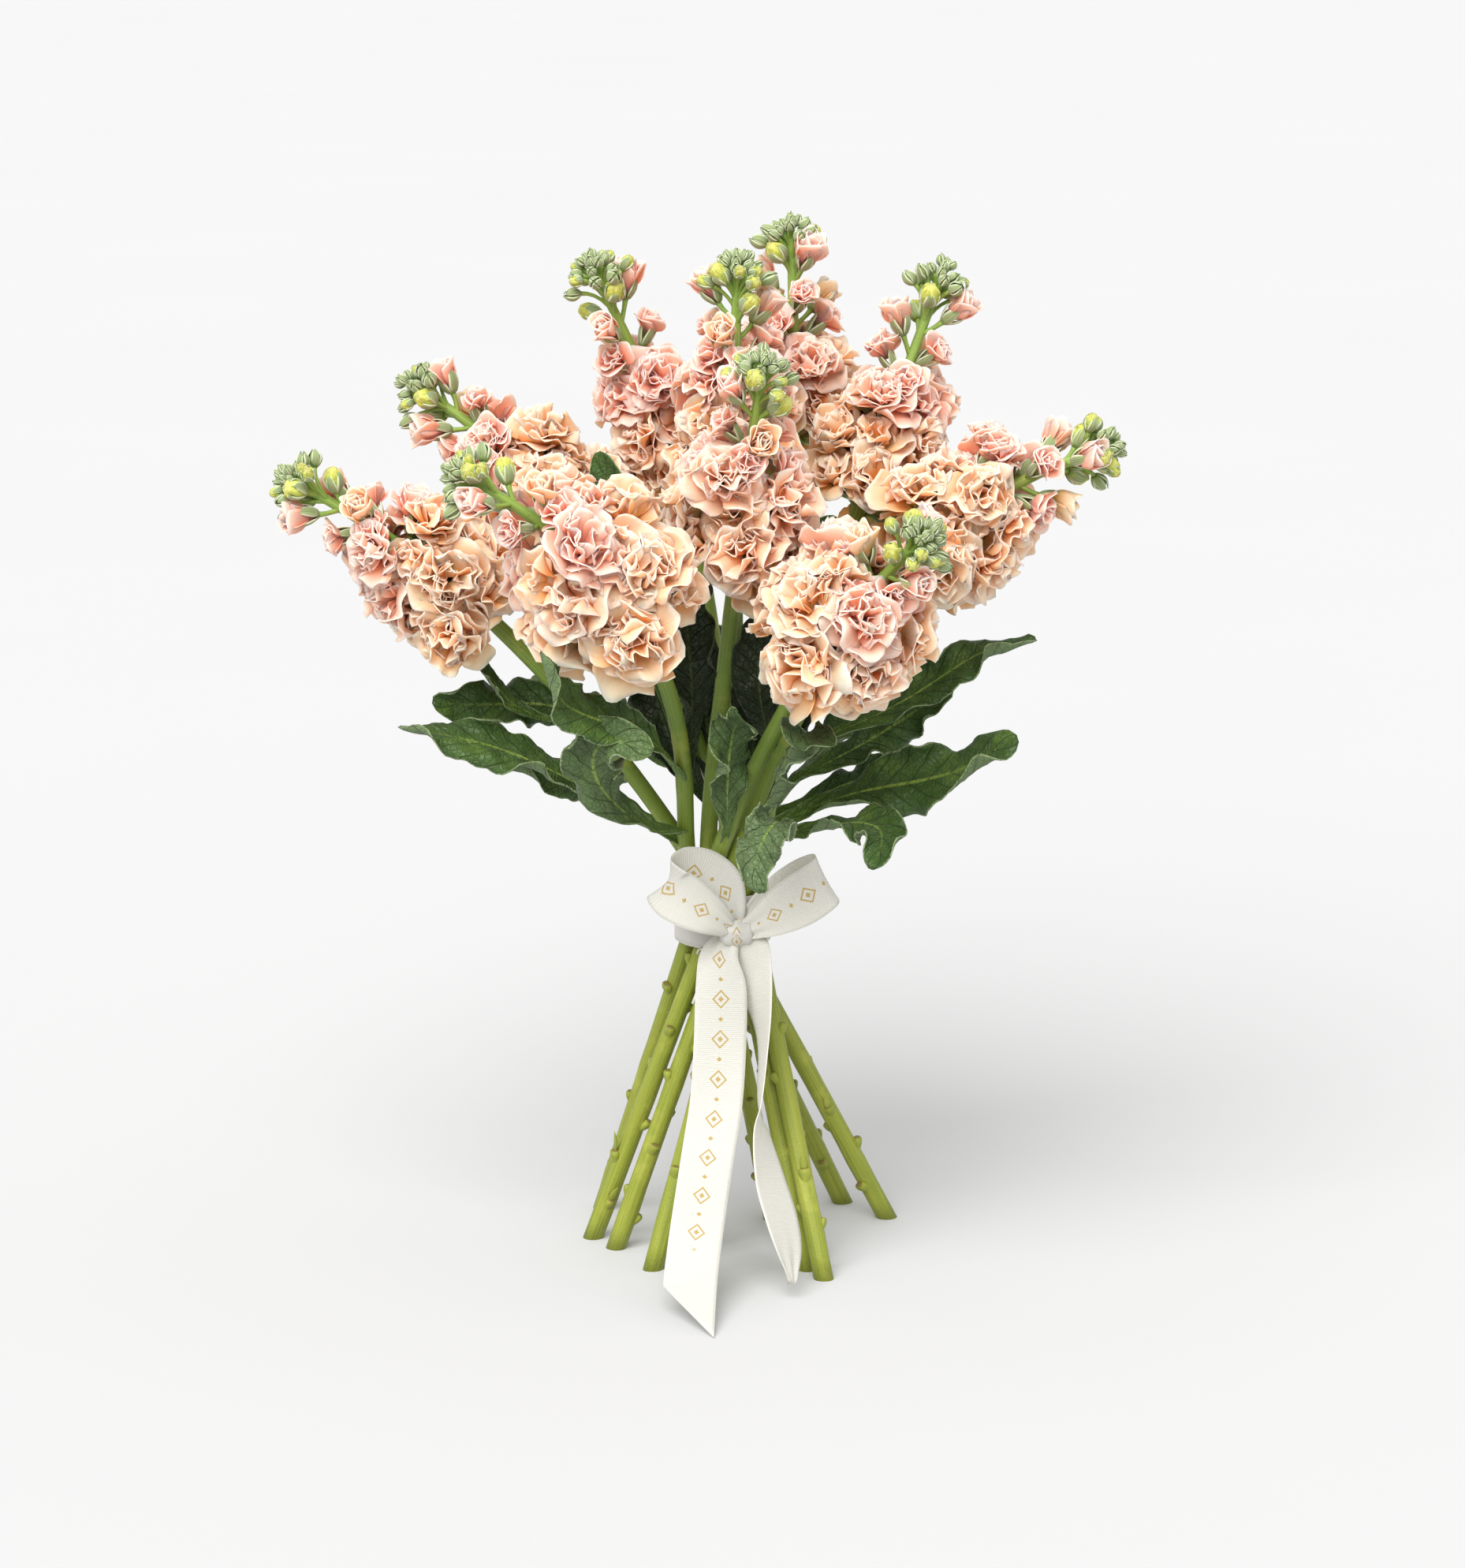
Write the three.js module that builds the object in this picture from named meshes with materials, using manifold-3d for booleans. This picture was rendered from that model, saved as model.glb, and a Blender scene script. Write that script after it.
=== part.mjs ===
// Hand-tied bunch of double stock flowers, standing on its cut stem ends.
// Millimetres, +Z up. The surface that the bunch stands on is z = 0.
import * as THREE from "three";
import { mergeVertices } from "three/addons/utils/BufferGeometryUtils.js";
import Module from "manifold-3d";

const wasm = await Module();
wasm.setup();

// Driving dimensions
const TIE_HEIGHT = 165;
const TIE_CENTRE_X = -4.5;
const STEM_RADII = [[0, 4.7], [165, 4.15], [300, 3.85], [380, 3.4]];
const STEM_TIP_RADIUS = 1.9;
const STEM_SIDES = 6;
const CLEARANCE = 0.35;
const BLOOM_ZONE = 0.56;
const CORE_SHARE = 0.78;
const BLADE_THICKNESS = 0.9;
const RIBBON_THICKNESS = 0.8;
const BAND = { inner: 22.6, outer: 23.4, low: 153, high: 178 };
const BINDING = { inner: 21.3, outer: 22, low: 150.5, high: 169 };
const HOOP_SIDES = 20;
const GOLDEN_ANGLE = THREE.MathUtils.degToRad(137.508);
const ORIGIN_SHIFT = [16.3, 5.8, 0];

// Each flowering stem: the lowest and highest point of its flower spike, the spread of the spike,
// where the stem crosses the tie and where its cut end stands (degrees about the tie axis, radius).
const FLOWER_STEMS = [
  { name: "01", base: [-122, -15, 318], tip: [-213, -25, 382], reach: 34, waist: [101, 13.5],
    foot: [24.5, 89], florets: 9, floret: 18, seed: 1201 },
  { name: "02", base: [-80, 20, 354], tip: [-158, 32, 419], reach: 33, waist: [17, 13.8],
    foot: [309, 76], florets: 8, floret: 18, seed: 2303 },
  { name: "03", base: [-48, -80, 327], tip: [-130, -105, 397], reach: 41, waist: [145, 14],
    foot: [46, 86], florets: 10, floret: 21, seed: 3407 },
  { name: "04", base: [-23, 68, 356], tip: [-72, 55, 477], reach: 32, waist: [55.4, 10.9],
    foot: [311.5, 60], florets: 8, floret: 18, seed: 4509 },
  { name: "05", base: [1, 18, 375], tip: [2, 15, 481], reach: 31, waist: [322, 4.7],
    foot: [224, 21.6], florets: 7, floret: 18, seed: 5611 },
  { name: "06", base: [29, 85, 381], tip: [28, 96, 491], reach: 32, waist: [329, 14],
    foot: [233, 56], florets: 8, floret: 18, seed: 6713 },
  { name: "07", base: [2, -36, 340], tip: [15, -70, 444], reach: 37, waist: [164, 5],
    foot: [54, 42], florets: 9, floret: 20, seed: 7817 },
  { name: "08", base: [60, 37, 354], tip: [104, 60, 474], reach: 32, waist: [289, 14.5],
    foot: [193, 53.4], florets: 9, floret: 18, seed: 8919 },
  { name: "09", base: [90, -17, 345], tip: [183, -10, 393], reach: 36, waist: [251, 13.5],
    foot: [176, 64], florets: 8, floret: 18.5, seed: 9923 },
  { name: "10", base: [43, -80, 310], tip: [90, -120, 370], reach: 42, waist: [200, 13.2],
    foot: [139, 80], florets: 10, floret: 21, seed: 10429 },
];

// Each leaf: four points along its midrib, the greatest width, the side that its face looks to,
// the roll of the blade at its foot and tip (degrees) and the waves of its margin.
const LEAVES = [
  { line: [[-34, -8, 204], [-70, -22, 231], [-113, -28, 251], [-157, -22, 261]], width: 25,
    face: [0.1, -0.7, 0.7], roll: [0, 25], wave: 3.0, waves: 2.3, phase: 0.1 },
  { line: [[-36, 3, 200], [-56, 9, 218], [-80, 13, 228], [-113, 15, 232]], width: 20,
    face: [0.2, -0.6, 0.8], roll: [10, -10], wave: 2.4, waves: 2.0, phase: 0.4 },
  { line: [[-49, 10, 234], [-79, 6, 262], [-109, 2, 267], [-142, -6, 270]], width: 24,
    face: [0.0, -0.8, 0.6], roll: [0, -20], wave: 3.2, waves: 2.4, phase: 0.7 },
  { line: [[-29, -36, 233], [-44, -76, 268], [-69, -102, 284], [-91, -120, 313]], width: 27,
    face: [0.6, -0.6, 0.5], roll: [0, 20], wave: 2.6, waves: 2.0, phase: 0.2 },
  { line: [[-31, -32, 201], [-54, -68, 233], [-64, -93, 262], [-38, -112, 268]], width: 28,
    face: [-0.2, -0.8, 0.55], roll: [0, 20], wave: 3.6, waves: 2.6, phase: 0.5 },
  { line: [[-86, -6, 250], [-98, -10, 266], [-112, -14, 280], [-126, -18, 292]], width: 9,
    face: [0.3, -0.8, 0.5], roll: [0, 20], wave: 1.0, waves: 1.6, phase: 0.1 },
  { line: [[-5, -30, 196], [-2, -49, 231], [-1, -59, 262], [8, -67, 280]], width: 23,
    face: [0.3, -0.9, 0.3], roll: [0, 15], wave: 3.0, waves: 2.6, phase: 0.8 },
  { line: [[11, -25, 202], [21, -50, 237], [28, -68, 262], [46, -98, 266]], width: 23,
    face: [0.5, -0.6, 0.6], roll: [0, 25], wave: 3.2, waves: 2.4, phase: 0.3 },
  { line: [[19, -24, 198], [22, -58, 221], [15, -86, 222], [11, -94, 199]], width: 22,
    face: [0.1, -0.5, 0.85], roll: [0, 10], wave: 3.4, waves: 2.6, phase: 0.6 },
  { line: [[27, -14, 198], [46, -40, 216], [67, -62, 222], [64, -86, 207]], width: 24,
    face: [-0.2, -0.5, 0.85], roll: [0, -15], wave: 3.0, waves: 2.3, phase: 0.0 },
  { line: [[29, -4, 203], [58, -16, 227], [97, -26, 238], [137, -32, 251]], width: 33,
    face: [-0.1, -0.75, 0.65], roll: [0, -15], wave: 2.6, waves: 2.0, phase: 0.25 },
  { line: [[27, 10, 208], [47, 18, 221], [68, 24, 228], [92, 32, 230]], width: 20,
    face: [0.0, -0.6, 0.8], roll: [0, 15], wave: 2.6, waves: 2.2, phase: 0.45 },
  { line: [[32, 18, 219], [55, 22, 239], [80, 26, 253], [106, 28, 269]], width: 24,
    face: [-0.2, -0.75, 0.6], roll: [0, 20], wave: 3.2, waves: 2.6, phase: 0.65 },
  { line: [[48, -2, 236], [74, -4, 266], [108, -4, 286], [143, -2, 302]], width: 23,
    face: [-0.3, -0.75, 0.6], roll: [0, -20], wave: 2.8, waves: 2.2, phase: 0.85 },
  { line: [[-30, -22, 262], [-42, -16, 308], [-52, -12, 352], [-62, -8, 389]], width: 23,
    face: [-0.2, -0.95, 0.1], roll: [0, -15], wave: 1.8, waves: 1.6, phase: 0.2 },
  { line: [[-16, -28, 241], [-19, -36, 275], [-21, -40, 307], [-17, -38, 334]], width: 26,
    face: [0.2, -0.95, 0.1], roll: [0, 15], wave: 2.2, waves: 2.0, phase: 0.55 },
  { line: [[12, -26, 245], [14, -32, 270], [12, -34, 294], [14, -34, 316]], width: 24,
    face: [0.1, -0.95, 0.2], roll: [0, -15], wave: 2.0, waves: 2.0, phase: 0.35 },
  { line: [[30, 12, 290], [36, 10, 315], [42, 8, 338], [46, 8, 358]], width: 21,
    face: [-0.2, -0.95, 0.1], roll: [0, 10], wave: 1.8, waves: 1.8, phase: 0.75 },
  { line: [[-22, 30, 206], [-42, 56, 236], [-70, 82, 252], [-100, 104, 258]], width: 27,
    face: [-0.3, 0.4, 0.85], roll: [0, 20], wave: 3.0, waves: 2.3, phase: 0.15 },
  { line: [[2, 34, 208], [6, 64, 242], [2, 98, 262], [-10, 134, 270]], width: 28,
    face: [0.0, -0.5, 0.85], roll: [0, -20], wave: 3.0, waves: 2.4, phase: 0.5 },
  { line: [[22, 28, 204], [44, 54, 234], [70, 78, 250], [96, 100, 252]], width: 27,
    face: [-0.4, -0.3, 0.85], roll: [0, 20], wave: 3.2, waves: 2.3, phase: 0.9 },
  { line: [[-14, 40, 241], [-24, 60, 272], [-40, 78, 296], [-60, 96, 310]], width: 22,
    face: [0.4, -0.4, 0.8], roll: [0, -10], wave: 2.4, waves: 2.0, phase: 0.3 },
  { line: [[23, 26, 250], [41, 49, 284], [57, 73, 306], [77, 95, 314]], width: 24,
    face: [-0.4, -0.4, 0.8], roll: [0, 15], wave: 2.6, waves: 2.2, phase: 0.6 },
  { line: [[-10, 6, 205], [-25, 12, 238], [-36, 14, 265], [-40, 12, 290]], width: 27,
    face: [-0.2, -0.95, 0.1], roll: [0, 15], wave: 2.6, waves: 2.1, phase: 0.35 },
  { line: [[-6, 4, 205], [-10, 12, 239], [-13, 16, 270], [-11, 18, 304]], width: 26,
    face: [0.1, -0.95, 0.1], roll: [0, -15], wave: 2.4, waves: 2.2, phase: 0.7 },
  { line: [[5, -6, 209], [9, -6, 242], [12, -4, 273], [11, 0, 304]], width: 24,
    face: [0.1, -0.95, 0.1], roll: [0, 15], wave: 2.6, waves: 2.4, phase: 0.05 },
  { line: [[12, -4, 211], [21, -8, 243], [30, -8, 270], [40, -6, 292]], width: 22,
    face: [-0.1, -0.95, 0.2], roll: [0, -15], wave: 2.6, waves: 2.2, phase: 0.5 },
];

// The two ribbon tails: points along the middle, the direction across and the width seen there.
const FRONT_TAIL = [
  { at: [1, -28.5, 163], across: [1, 0.1, 0], width: 8 },
  { at: [-6, -33, 153], across: [0.97, -0.15, 0.2], width: 18 },
  { at: [-5.5, -37, 138], across: [1, -0.05, 0.05], width: 24 },
  { at: [-5.8, -42, 114], across: [1, 0.08, 0], width: 25 },
  { at: [-7.6, -51, 86], across: [1, -0.05, -0.05], width: 25 },
  { at: [-11, -62, 66], across: [0.99, -0.1, -0.1], width: 25 },
  { at: [-14.5, -76, 46], across: [0.98, 0.1, -0.12], width: 25 },
  { at: [-17.5, -92, 29], across: [0.99, 0.05, -0.08], width: 25 },
  { at: [-19.5, -108, 16], across: [1, 0, -0.04], width: 25 },
];
const FRONT_TAIL_TIP = [[-8.5, -146, 0.5], [-32, -112, 13.5]];
const RIGHT_TAIL = [
  { at: [4, -29, 163], across: [0.9, 0.1, -0.35], width: 9 },
  { at: [8, -32, 157], across: [0.95, -0.25, 0], width: 18 },
  { at: [9.6, -36, 143], across: [0.72, -0.68, 0], width: 25 },
  { at: [13.5, -42, 126], across: [0.4, -0.9, 0.1], width: 25 },
  { at: [14.5, -47, 110], across: [0.16, -0.97, -0.1], width: 25 },
  { at: [13, -56, 86], across: [0.05, -0.98, -0.18], width: 25 },
  { at: [14, -62, 72], across: [-0.2, -0.95, -0.2], width: 25 },
  { at: [18, -71, 52], across: [-0.4, -0.88, -0.2], width: 25 },
  { at: [23, -79, 36], across: [-0.42, -0.86, -0.2], width: 25 },
  { at: [26.5, -86, 22], across: [-0.4, -0.86, -0.3], width: 20 },
  { at: [28, -91, 8], across: [-0.4, -0.85, -0.35], width: 5 },
];
const KNOT = { centre: [2, -28.7, 162], size: [8.5, 7.3, 6.5] };
const LEFT_LOOP = [
  { at: [1, -28, 164], across: [0.5, 0.1, 0.85], width: 8 },
  { at: [-1, -28, 174], across: [0.4, 0.1, 0.92], width: 16 },
  { at: [-5, -28.5, 184], across: [0.12, 0.1, 0.98], width: 22 },
  { at: [-13, -30, 190], across: [0.02, 0.1, 0.99], width: 25 },
  { at: [-22, -32, 192], across: [0.25, 0.08, 0.96], width: 25 },
  { at: [-29, -35.5, 190], across: [0.5, 0.05, 0.85], width: 25 },
  { at: [-31, -39, 188], across: [0.58, 0.05, 0.8], width: 25 },
  { at: [-28, -42, 184.5], across: [0.58, 0.1, 0.8], width: 25 },
  { at: [-20, -43, 179.5], across: [0.52, 0.3, 0.8], width: 24 },
  { at: [-11, -41, 174], across: [0.5, 0.45, 0.75], width: 20 },
  { at: [-4, -36, 168], across: [0.5, 0.4, 0.78], width: 13 },
  { at: [0, -31, 163], across: [0.5, 0.2, 0.85], width: 8 },
];
const RIGHT_LOOP = [
  { at: [4, -28, 163], across: [-0.3, 0, 0.95], width: 8 },
  { at: [12, -26, 170], across: [-0.3, 0, 0.95], width: 15 },
  { at: [23, -27, 178.5], across: [-0.35, 0.05, 0.93], width: 22 },
  { at: [34, -29, 185.5], across: [-0.38, 0.05, 0.92], width: 25 },
  { at: [42, -32, 189.5], across: [-0.4, 0.05, 0.91], width: 25 },
  { at: [44.5, -35.5, 190], across: [-0.4, 0.05, 0.91], width: 25 },
  { at: [41.5, -39, 187], across: [-0.4, 0.05, 0.91], width: 25 },
  { at: [31, -40, 180], across: [-0.38, 0.15, 0.9], width: 25 },
  { at: [19, -38, 172.5], across: [-0.35, 0.25, 0.9], width: 20 },
  { at: [9.5, -33, 166], across: [-0.3, 0.2, 0.93], width: 12 },
  { at: [4, -30, 162.5], across: [-0.3, 0, 0.95], width: 8 },
];

// Shares of a flower's radius: how wide and how high each ruffled tier of petals stands
const FLORET_TIERS = [
  { petals: 7, spread: 0.99, spreadWave: 0.05, height: -0.02, wave: 0.14 },
  { petals: 5, spread: 0.6, spreadWave: 0.04, height: 0.13, wave: 0.03 },
  { petals: 5, spread: 0.66, spreadWave: 0.05, height: 0.44, wave: 0.07 },
];
const FLORET_TOP = 0.52;
const FLORET_LEAST_RADIUS = 11.5;

// The upper spike: places along it, distance from its axis, lean outwards (degrees) and radius
const UPPER_ROWS = [
  { kind: "half", count: 3, from: 0.6, to: 0.78, stand: [17, 15], lean: [46, 34], size: 8.8 },
  { kind: "bud", count: 3, from: 0.8, to: 0.93, stand: [12, 8.5], lean: [42, 26], size: 3.9 },
];
const HALF_OPEN = { calyx: [4, 0.42], throat: [11, 0.86], folds: [[16, 0.98], [19, 0.75]], middle: 14 };
const BUD = { foot: [2, 0.8], middle: [6.5, 1], tip: 12 };
const STALK_RADIUS = 1.4;
const TIP_BUD = { size: 4.6, smallSize: 2.7, smallMiddle: 5, smallTip: 9.5 };
const CORE_PLACES = [[-0.12, 0.6], [0.1, 1], [0.35, 1], [BLOOM_ZONE + 0.04, 0.6]];
const CORE_SIDES = 5;
const SCAR = { places: [0.4], half: 2.1, above: 3.6, below: 3, proud: 1.7 };

const COLOURS = {
  petal: 0xf0bd9b,
  stem: 0x7f9a45,
  leaf: 0x36502f,
  ribbon: 0xf3efe2,
  binding: 0xe9e6da,
};

// Small helpers: vectors, draws and lines
const vec = (values) => new THREE.Vector3(...values);
const degrees = (angle) => THREE.MathUtils.degToRad(angle);

function makeDraw(seed) {
  let state = (seed * 48271) % 2147483647;
  return (low, high) => {
    state = (state * 16807) % 2147483647;
    return low + ((high - low) * state) / 2147483647;
  };
}

function tableValue(table, at) {
  if (at <= table[0][0]) return table[0][1];
  for (let i = 1; i < table.length; i += 1) {
    const [x0, y0] = table[i - 1];
    const [x1, y1] = table[i];
    if (at <= x1) return y0 + ((y1 - y0) * (at - x0)) / (x1 - x0);
  }
  return table[table.length - 1][1];
}

function polar([angle, radius], height) {
  const turn = degrees(angle);
  return vec([TIE_CENTRE_X + radius * Math.cos(turn), radius * Math.sin(turn), height]);
}

function lineThroughFour(points, s) {
  const knots = [0, 1 / 3, 2 / 3, 1];
  const out = new THREE.Vector3();
  points.forEach((point, i) => {
    let weight = 1;
    knots.forEach((knot, j) => {
      if (j !== i) weight *= (s - knot) / (knots[i] - knot);
    });
    out.addScaledVector(point, weight);
  });
  return out;
}

// Two directions at right angles to an axis, turned the same way for every part of a spike.
function crossAxes(axis, reference = new THREE.Vector3(0, 1, 0)) {
  const u = new THREE.Vector3().crossVectors(axis, reference).normalize();
  const v = new THREE.Vector3().crossVectors(axis, u).normalize();
  return [u, v];
}

// Closed solids. A ring skin joins rings of points by triangles; a ring of one point is a pole.
function stitch(triangles, start, count, nextStart, nextCount) {
  let i = 0;
  let j = 0;
  while (i < (count > 1 ? count : 0) || j < (nextCount > 1 ? nextCount : 0)) {
    const low = start + (i % count);
    const high = nextStart + (j % nextCount);
    const lowNext = (i + 1) / count;
    const highNext = (j + 1) / nextCount;
    const stepLow = nextCount === 1 || (count > 1 && i < count && (j >= nextCount || lowNext <= highNext));
    if (stepLow) {
      triangles.push(low, start + ((i + 1) % count), high);
      i += 1;
    } else {
      triangles.push(low, nextStart + ((j + 1) % nextCount), high);
      j += 1;
    }
  }
}

function ringSkin(rings) {
  const points = [];
  const triangles = [];
  const starts = rings.map((ring) => {
    points.push(...ring);
    return points.length - ring.length;
  });
  for (let i = 1; i < rings.length; i += 1) {
    stitch(triangles, starts[i - 1], rings[i - 1].length, starts[i], rings[i].length);
  }
  const lastStart = starts[rings.length - 1];
  const lastCount = rings[rings.length - 1].length;
  for (let i = 1; i + 1 < rings[0].length; i += 1) triangles.push(0, i + 1, i);
  for (let i = 1; i + 1 < lastCount; i += 1) triangles.push(lastStart, lastStart + i, lastStart + i + 1);
  return solid(points, triangles);
}

// A sheet with thickness: rows of points and the direction of its face at each row.
function sheetSkin(rows, normals, thickness) {
  const columns = rows[0].length;
  const count = rows.length * columns;
  const points = [];
  [0.5, -0.5].forEach((side) => {
    rows.forEach((row, i) => {
      row.forEach((point) => points.push(point.clone().addScaledVector(normals[i], side * thickness)));
    });
  });
  const triangles = [];
  const quad = (a, b, c, d) => triangles.push(a, b, c, a, c, d);
  for (let i = 0; i + 1 < rows.length; i += 1) {
    const row = i * columns;
    for (let j = 0; j + 1 < columns; j += 1) {
      const a = row + j;
      quad(a, a + 1, a + columns + 1, a + columns);
      triangles.push(count + a, count + a + columns + 1, count + a + 1);
      triangles.push(count + a, count + a + columns, count + a + columns + 1);
    }
    const left = row;
    const right = row + columns - 1;
    quad(left, left + columns, count + left + columns, count + left);
    quad(right, count + right, count + right + columns, right + columns);
  }
  const last = (rows.length - 1) * columns;
  for (let j = 0; j + 1 < columns; j += 1) {
    quad(j, count + j, count + j + 1, j + 1);
    quad(last + j, last + j + 1, count + last + j + 1, count + last + j);
  }
  return solid(points, triangles);
}

function solid(points, triangles) {
  const geometry = new THREE.BufferGeometry().setFromPoints(points);
  geometry.setIndex(triangles);
  return solidOf(geometry);
}

function solidOf(geometry) {
  geometry.deleteAttribute("normal");
  geometry.deleteAttribute("uv");
  const merged = mergeVertices(geometry, 1e-4);
  const points = merged.getAttribute("position");
  return new wasm.Manifold(new wasm.Mesh({
    numProp: 3,
    vertProperties: new Float32Array(points.array),
    triVerts: new Uint32Array(merged.index.array),
  }));
}

function join(parts) {
  return parts.reduce((whole, part) => whole.add(part));
}

function largestBody(body) {
  const pieces = body.decompose();
  return pieces.reduce((best, piece) => (piece.volume() > best.volume() ? piece : best));
}

function ring(centre, u, v, count, radiusAt, heightAt, axis) {
  return Array.from({ length: count }, (_, i) => {
    const angle = (2 * Math.PI * i) / count;
    const radius = radiusAt(i);
    return centre
      .clone()
      .addScaledVector(u, radius * Math.cos(angle))
      .addScaledVector(v, radius * Math.sin(angle))
      .addScaledVector(axis, heightAt(i));
  });
}

// Flowering stems
function spikeCurve(head) {
  const base = vec(head.base);
  const tip = vec(head.tip);
  const way = base.clone().sub(polar(head.waist, TIE_HEIGHT)).normalize();
  const start = tip.clone().sub(base).normalize().add(way).normalize();
  const bend = base.clone().addScaledVector(start, tip.distanceTo(base) * 0.45);
  return new THREE.QuadraticBezierCurve3(base, bend, tip);
}

function spikePoint(head, t) {
  return spikeCurve(head).getPoint(t);
}

function spikeAxis(head, t) {
  const step = 0.01;
  return spikePoint(head, t + step).sub(spikePoint(head, t - step)).normalize();
}

// Straight from the cut end to the tie, then bent outwards to the foot of the flower spike
function stemLine(head) {
  const foot = polar(head.foot, 0);
  const waist = polar(head.waist, TIE_HEIGHT);
  const base = vec(head.base);
  const rise = waist.clone().sub(foot).normalize();
  const span = base.distanceTo(waist);
  const bent = new THREE.CubicBezierCurve3(
    waist,
    waist.clone().addScaledVector(rise, span * 0.22),
    base.clone().addScaledVector(spikeAxis(head, 0), -span * 0.45),
    base,
  );
  const lower = [foot, waist].map((at) => ({ at, radius: tableValue(STEM_RADII, at.z) }));
  const middle = [0.2, 0.44, 0.71, 1].map((t) => {
    const at = bent.getPoint(t);
    return { at, radius: tableValue(STEM_RADII, at.z) };
  });
  const atBase = tableValue(STEM_RADII, base.z);
  const spike = [0.3, 0.62, 0.95].map((t) => (
    { at: spikePoint(head, t), radius: atBase + (STEM_TIP_RADIUS - atBase) * t }));
  return [...lower, ...middle, ...spike];
}

function stemTube(head, grow) {
  const line = stemLine(head);
  const rings = line.map(({ at, radius }, i) => {
    const before = line[Math.max(i - 1, 0)].at;
    const after = line[Math.min(i + 1, line.length - 1)].at;
    const axis = after.clone().sub(before).normalize();
    const [u, v] = crossAxes(axis);
    const around = ring(at, u, v, STEM_SIDES, () => radius + grow, () => 0, axis);
    if (i > 0) return around;
    return around.map((p) => p.addScaledVector(axis, -p.z / axis.z - grow));
  });
  return ringSkin(rings);
}

function leafScars(head, grow) {
  const draw = makeDraw(head.seed + 71);
  const foot = polar(head.foot, 0);
  const waist = polar(head.waist, TIE_HEIGHT);
  const axis = waist.clone().sub(foot).normalize();
  const [u, v] = crossAxes(axis);
  return SCAR.places.map((place, i) => {
    const angle = head.seed + i * GOLDEN_ANGLE;
    const out = u.clone().multiplyScalar(Math.cos(angle)).addScaledVector(v, Math.sin(angle));
    const side = new THREE.Vector3().crossVectors(axis, out);
    const at = foot.clone().lerp(waist, place + draw(-0.05, 0.05));
    const radius = tableValue(STEM_RADII, at.z);
    const back = at.clone().addScaledVector(out, radius * 0.45);
    const corner = (s, h) => back.clone().addScaledVector(side, s).addScaledVector(axis, h);
    const around = [corner(-SCAR.half, 0), corner(0, SCAR.above), corner(SCAR.half, 0), corner(0, -SCAR.below)];
    const point = at.clone().addScaledVector(out, radius + SCAR.proud + grow).addScaledVector(axis, 2);
    return ringSkin([around.reverse(), [point]]);
  });
}

// Open flowers: a ruffled outer tier of petals round a crumpled middle
function openFlorets(head) {
  const draw = makeDraw(head.seed);
  const found = [];
  for (let k = 0; k < head.florets; k += 1) {
    const share = (k + 0.5) / head.florets;
    const t = BLOOM_ZONE * share - 0.03;
    const lean = degrees(82 - 44 * share + draw(-7, 7));
    const turn = head.seed + k * GOLDEN_ANGLE;
    const full = head.floret * (1 - 0.26 * share) * draw(0.95, 1.06);
    const axis = spikeAxis(head, t);
    const [u, v] = crossAxes(axis);
    const out = u.multiplyScalar(Math.cos(turn)).addScaledVector(v, Math.sin(turn));
    const stand = floretStand(head) * (1 - 0.22 * share);
    const centre = spikePoint(head, t).addScaledVector(out, stand);
    const facing = out.clone().multiplyScalar(Math.sin(lean)).addScaledVector(axis, Math.cos(lean));
    const radius = Math.min(full, freeRadius(head, centre, stand));
    if (radius > FLORET_LEAST_RADIUS) {
      found.push({ centre, facing: facing.normalize(), radius, seed: head.seed + 37 * k });
    }
  }
  return found;
}

function floretStand(head) {
  return head.reach - 0.55 * head.floret;
}

// Half of the room between a flower and the nearest other spike, and a little more
function freeRadius(head, centre, stand) {
  let room = Infinity;
  FLOWER_STEMS.filter((other) => other !== head).forEach((other) => {
    for (let t = -0.1; t < 0.7; t += 0.1) {
      room = Math.min(room, spikePoint(other, t).distanceTo(centre));
    }
  });
  return (room - stand) / 2 + 3;
}

function floretSolid({ centre, facing, radius, seed }, grow) {
  const draw = makeDraw(seed);
  const [u, v] = crossAxes(facing, new THREE.Vector3(0.3, 0.2, 0.93));
  const size = radius + grow * 2;
  const tiers = FLORET_TIERS.map(({ petals, spread, spreadWave, height, wave }) => {
    const ways = Array.from({ length: petals }, (_, i) => (i % 2 ? 1 : -1));
    const radii = ways.map((way) => size * (spread + way * spreadWave + draw(-0.04, 0.04)));
    const heights = ways.map((way) => size * (height + way * wave + draw(-0.05, 0.05)));
    return ring(centre, u, v, petals, (i) => radii[i], (i) => heights[i], facing);
  });
  const pole = (height) => [centre.clone().addScaledVector(facing, size * height)];
  return ringSkin([pole(-0.75 - 4 / size), ...tiers, pole(FLORET_TOP)]);
}

function bloomCore(head, grow) {
  const wide = CORE_SHARE * floretStand(head);
  const rings = CORE_PLACES.map(([t, share]) => {
    const axis = spikeAxis(head, t);
    const [u, v] = crossAxes(axis);
    return ring(spikePoint(head, t), u, v, CORE_SIDES, () => wide * share + grow, () => 0, axis);
  });
  return ringSkin(rings);
}

function bloomSolid(head, grow) {
  const flowers = openFlorets(head).map((floret) => floretSolid(floret, grow));
  return join([bloomCore(head, grow), ...flowers]);
}

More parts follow.
